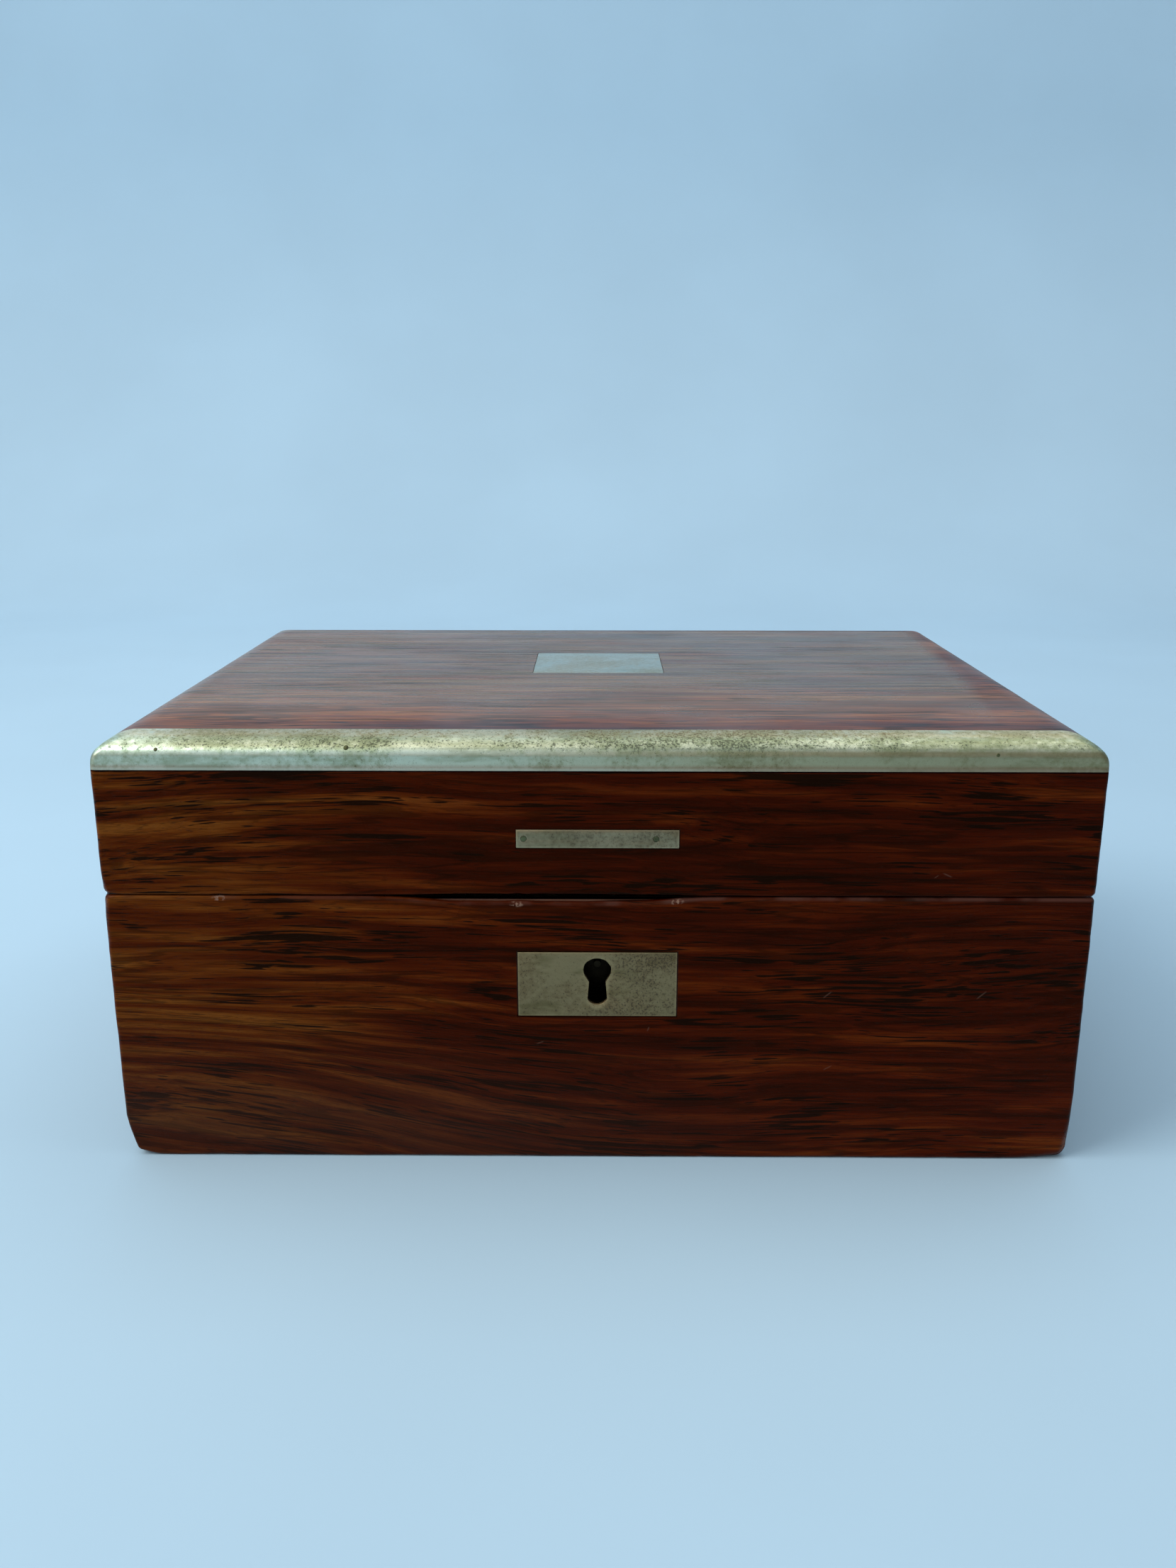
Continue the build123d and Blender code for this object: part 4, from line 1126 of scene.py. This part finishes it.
front_sheet("base_front_veneer", "escutcheon", 0.32, "base")
front_sheet("lid_front_veneer", "lid_bar", 0.22, "lid")
for side, wood in (("left", ROSEWOOD_SIDE), ("right", ROSEWOOD_SIDE), ("back", ROSEWOOD_BACK)):
    for body in ("base", "lid"):
        other_sheet(f"{body}_{side}_veneer", wood, body)
for board in ("base_left_board", "base_front_board"):
    worn_board(board)
worn_bottom("base_bottom_board")

edge_piece("edge_strip", strip_surface(), STRIP_METAL, STRIP_SILVER, "nickel_silver", 0.16)
for name, surface, wood in (
    ("edging_left", side_edging(-1), ROSEWOOD_EDGE),
    ("edging_right", side_edging(1), ROSEWOOD_EDGE),
    ("edging_back", back_edging(), ROSEWOOD_BACK),
):
    edge_piece(name, surface, EDGING_SHELL, wood, "rosewood", 0.1)

soft_copy("escutcheon", 0.14, SHIELD_SILVER, "base", "nickel_silver", worn_keyhole)
soft_copy("lid_bar", 0.12, BAR_SILVER, "lid", "nickel_silver")
soft_copy("initial_plate", 0.12, PLATE_SILVER, "lid", "nickel_silver")
soft_copy("lid_bar_pins", 0.08, PIN_SILVER, "lid", "steel")
soft_copy("base_rim_facing", 0.22, ROSEWOOD_RIM, "base", "rosewood")
soft_copy("lid_rim_facing", 0.22, ROSEWOOD_RIM, "lid", "rosewood")
for side in ("left", "right"):
    soft_copy(f"hinge_{side}_lower_leaf", 0.14, BRASS, "base", "brass")
    soft_copy(f"hinge_{side}_upper_leaf", 0.14, BRASS, "lid", "brass")
    soft_copy(f"hinge_{side}_pin", 0.12, STEEL, "base", "steel")
soft_copy("lock_main_plate", 0.14, LOCK_BRASS, "base", "brass")
soft_copy("lock_cap", 0.14, LOCK_BRASS, "base", "brass")
soft_copy("link_plate", 0.14, BRASS, "lid", "brass")
soft_copy("lock_drill_pin", 0.1, LOCK_BRASS, "base", "steel")

HINGE_SCREW = screw_form(1.5, 0.85, 0.75, 5.2)
LOCK_SCREW = screw_form(1.95, 0.95, 1, 7)
for name, x, z, up, turns, body in (
    ("left_lower", -HINGE_X, LOWER_LEAF, 1, (24, 101), "base"),
    ("left_upper", -HINGE_X, UPPER_LEAF, -1, (163, 58), "lid"),
    ("right_lower", HINGE_X, LOWER_LEAF, 1, (163, 58), "base"),
    ("right_upper", HINGE_X, UPPER_LEAF, -1, (24, 101), "lid"),
):
    places = [(x + step, HINGE_SCREW_Y, z) for step in (-HINGE_SCREW_X, HINGE_SCREW_X)]
    set_out(f"hinge_{name}_screws", HINGE_SCREW, places, (0, 0, up), turns, BRASS, body, "brass")
places = [(x, LOCK_SCREW_Y, z) for x in (-LOCK_SCREW_X, LOCK_SCREW_X) for z in LOCK_SCREW_Z]
set_out("lock_screws", LOCK_SCREW, places, (0, 1, 0), (12, 95, 140, 48), STEEL, "base", "steel")
places = [(x, LINK_SCREW_Y, UPPER_LEAF) for x in (-LINK_SCREW_X, LINK_SCREW_X)]
set_out("link_plate_screws", LOCK_SCREW, places, (0, 0, -1), (70, 155), STEEL, "lid", "steel")
for number, (x, below, radius) in enumerate(STRIP_PINS):
    inset, lower = FRONT_CURVE.inset(below), FRONT_CURVE.inset(below + 0.02)
    place, facing = (x, inset - HALF_D, HEIGHT - below), (0, -0.02, inset - lower)
    set_out(f"edge_strip_pin_{number + 1}", pin_form(radius), [place], facing, [0],
            PIN_SILVER, "lid", "nickel_silver")

lock_low, lock_high = limits("lock_main_plate")
lining_card("base_lining_front", "base", (lock_low - 0.3, lock_high + 0.3))
for side in ("back", "left", "right"):
    lining_card(f"base_lining_{side}", "base")
for side in ("front", "back", "left", "right"):
    lining_card(f"lid_lining_{side}", "lid")
velvet_pad("floor_pad", "base_floor_pad", "base", 1)
velvet_pad("top_pad", "lid_pad", "lid", -1)

# the CAD nodes that show as they are
FINISHES = {"rosewood": ROSEWOOD, "carcass_wood": MAHOGANY, "nickel_silver": BAR_SILVER,
            "brass": BRASS, "steel": STEEL, "lining": VELVET}
OWN_FINISHES = {"lid_top_veneer": ROSEWOOD_TOP, "lid_top_board": LID_BOARD}
for name, node in NODES.items():
    old = node.data.materials[0].name if node.data.materials else "carcass_wood"
    finish = OWN_FINISHES.get(name, FINISHES[old.split(".")[0]])
    if name.startswith("lock_"):
        finish = LOCK_BRASS
    node.data.materials.clear()
    node.data.materials.append(finish)


# --- stage, light and camera

FLOOR_BACK = 900  # where the floor turns up into the wall
WALL_BEND = 600  # the radius of that turn
WALL_HEIGHT = 3600
FLOOR_REACH = 30000
FLOOR_COLOUR = (0.49, 0.69, 0.83)
SKY_COLOUR = (0.95, 0.97, 1)
SKY_STEP = (-0.9, 0.9, 0.68, 0.26)  # from left to right, from bright to dim
LIGHTS = (  # name, place and aim in metres, size, power, colour
    ("window", (-1.2, -0.5, 1.2), (0, 0, 0.08), (1, 1), 14, (1, 0.98, 0.95)),
    ("overhead", (0, 0.9, 2.6), (0, 0.6, 0.1), (4, 3), 40, (0.97, 0.98, 1)),
)
CAMERA_PLACE = (0.00046, -0.40213, 0.18961)
CAMERA_PITCH = 15.366  # degrees down
CAMERA_YAW = 0.533
FOCAL_PIXELS = 1811.45
FRAME_HEIGHT = 2212
SENSOR = 36


def add_floor():
    """A pale floor that curves up into a pale wall far behind."""
    profile = [(-FLOOR_REACH, 0), (FLOOR_BACK, 0)]
    profile += [(FLOOR_BACK + WALL_BEND * sin(a), WALL_BEND - WALL_BEND * cos(a))
                for a in np.linspace(0, pi / 2, 17)[1:]]
    profile += [(FLOOR_BACK + WALL_BEND, WALL_HEIGHT)]
    rows = np.array([[(x, y, z) for x in (-FLOOR_REACH, FLOOR_REACH)] for y, z in profile], float)
    floor = mesh_object("floor", *grid(rows))
    paint = Paint("pale_floor")
    shade = paint.step(paint.noise(paint.place(), 0.004), 0.2, 0.8, 0.97, 1.03)
    dress(floor, paint.set(Base_Color=paint.shade(FLOOR_COLOUR, shade), Roughness=0.9))


def add_light(name, place, aim, size, power, colour):
    light = add_object(name, adjust(bpy.data.lights.new(name, "AREA"), shape="RECTANGLE",
                                    size=size[0], size_y=size[1], energy=power, color=colour))
    light.location = place
    light.rotation_euler = (Vector(aim) - Vector(place)).to_track_quat("-Z", "Y").to_euler()


def add_world():
    """A plain soft sky, brighter from the left."""
    paint = Paint("studio", "worlds", "Background")
    across = paint.parts(paint.node("TexCoord", "Generated", {}))[0]
    SCENE.world = paint.set(Color=SKY_COLOUR, Strength=paint.step(across, *SKY_STEP))


def add_camera():
    lens = FOCAL_PIXELS / FRAME_HEIGHT * SENSOR
    camera = add_object("photo_camera", adjust(bpy.data.cameras.new("photo_camera"),
                                               sensor_width=SENSOR, lens=lens, clip_start=0.01))
    camera.location = CAMERA_PLACE
    camera.rotation_euler = Euler((radians(90 - CAMERA_PITCH), 0, radians(CAMERA_YAW)))
    bpy.context.scene.camera = camera


add_floor()
add_world()
for light in LIGHTS:
    add_light(*light)
add_camera()
bpy.context.scene.view_settings.view_transform = "Standard"
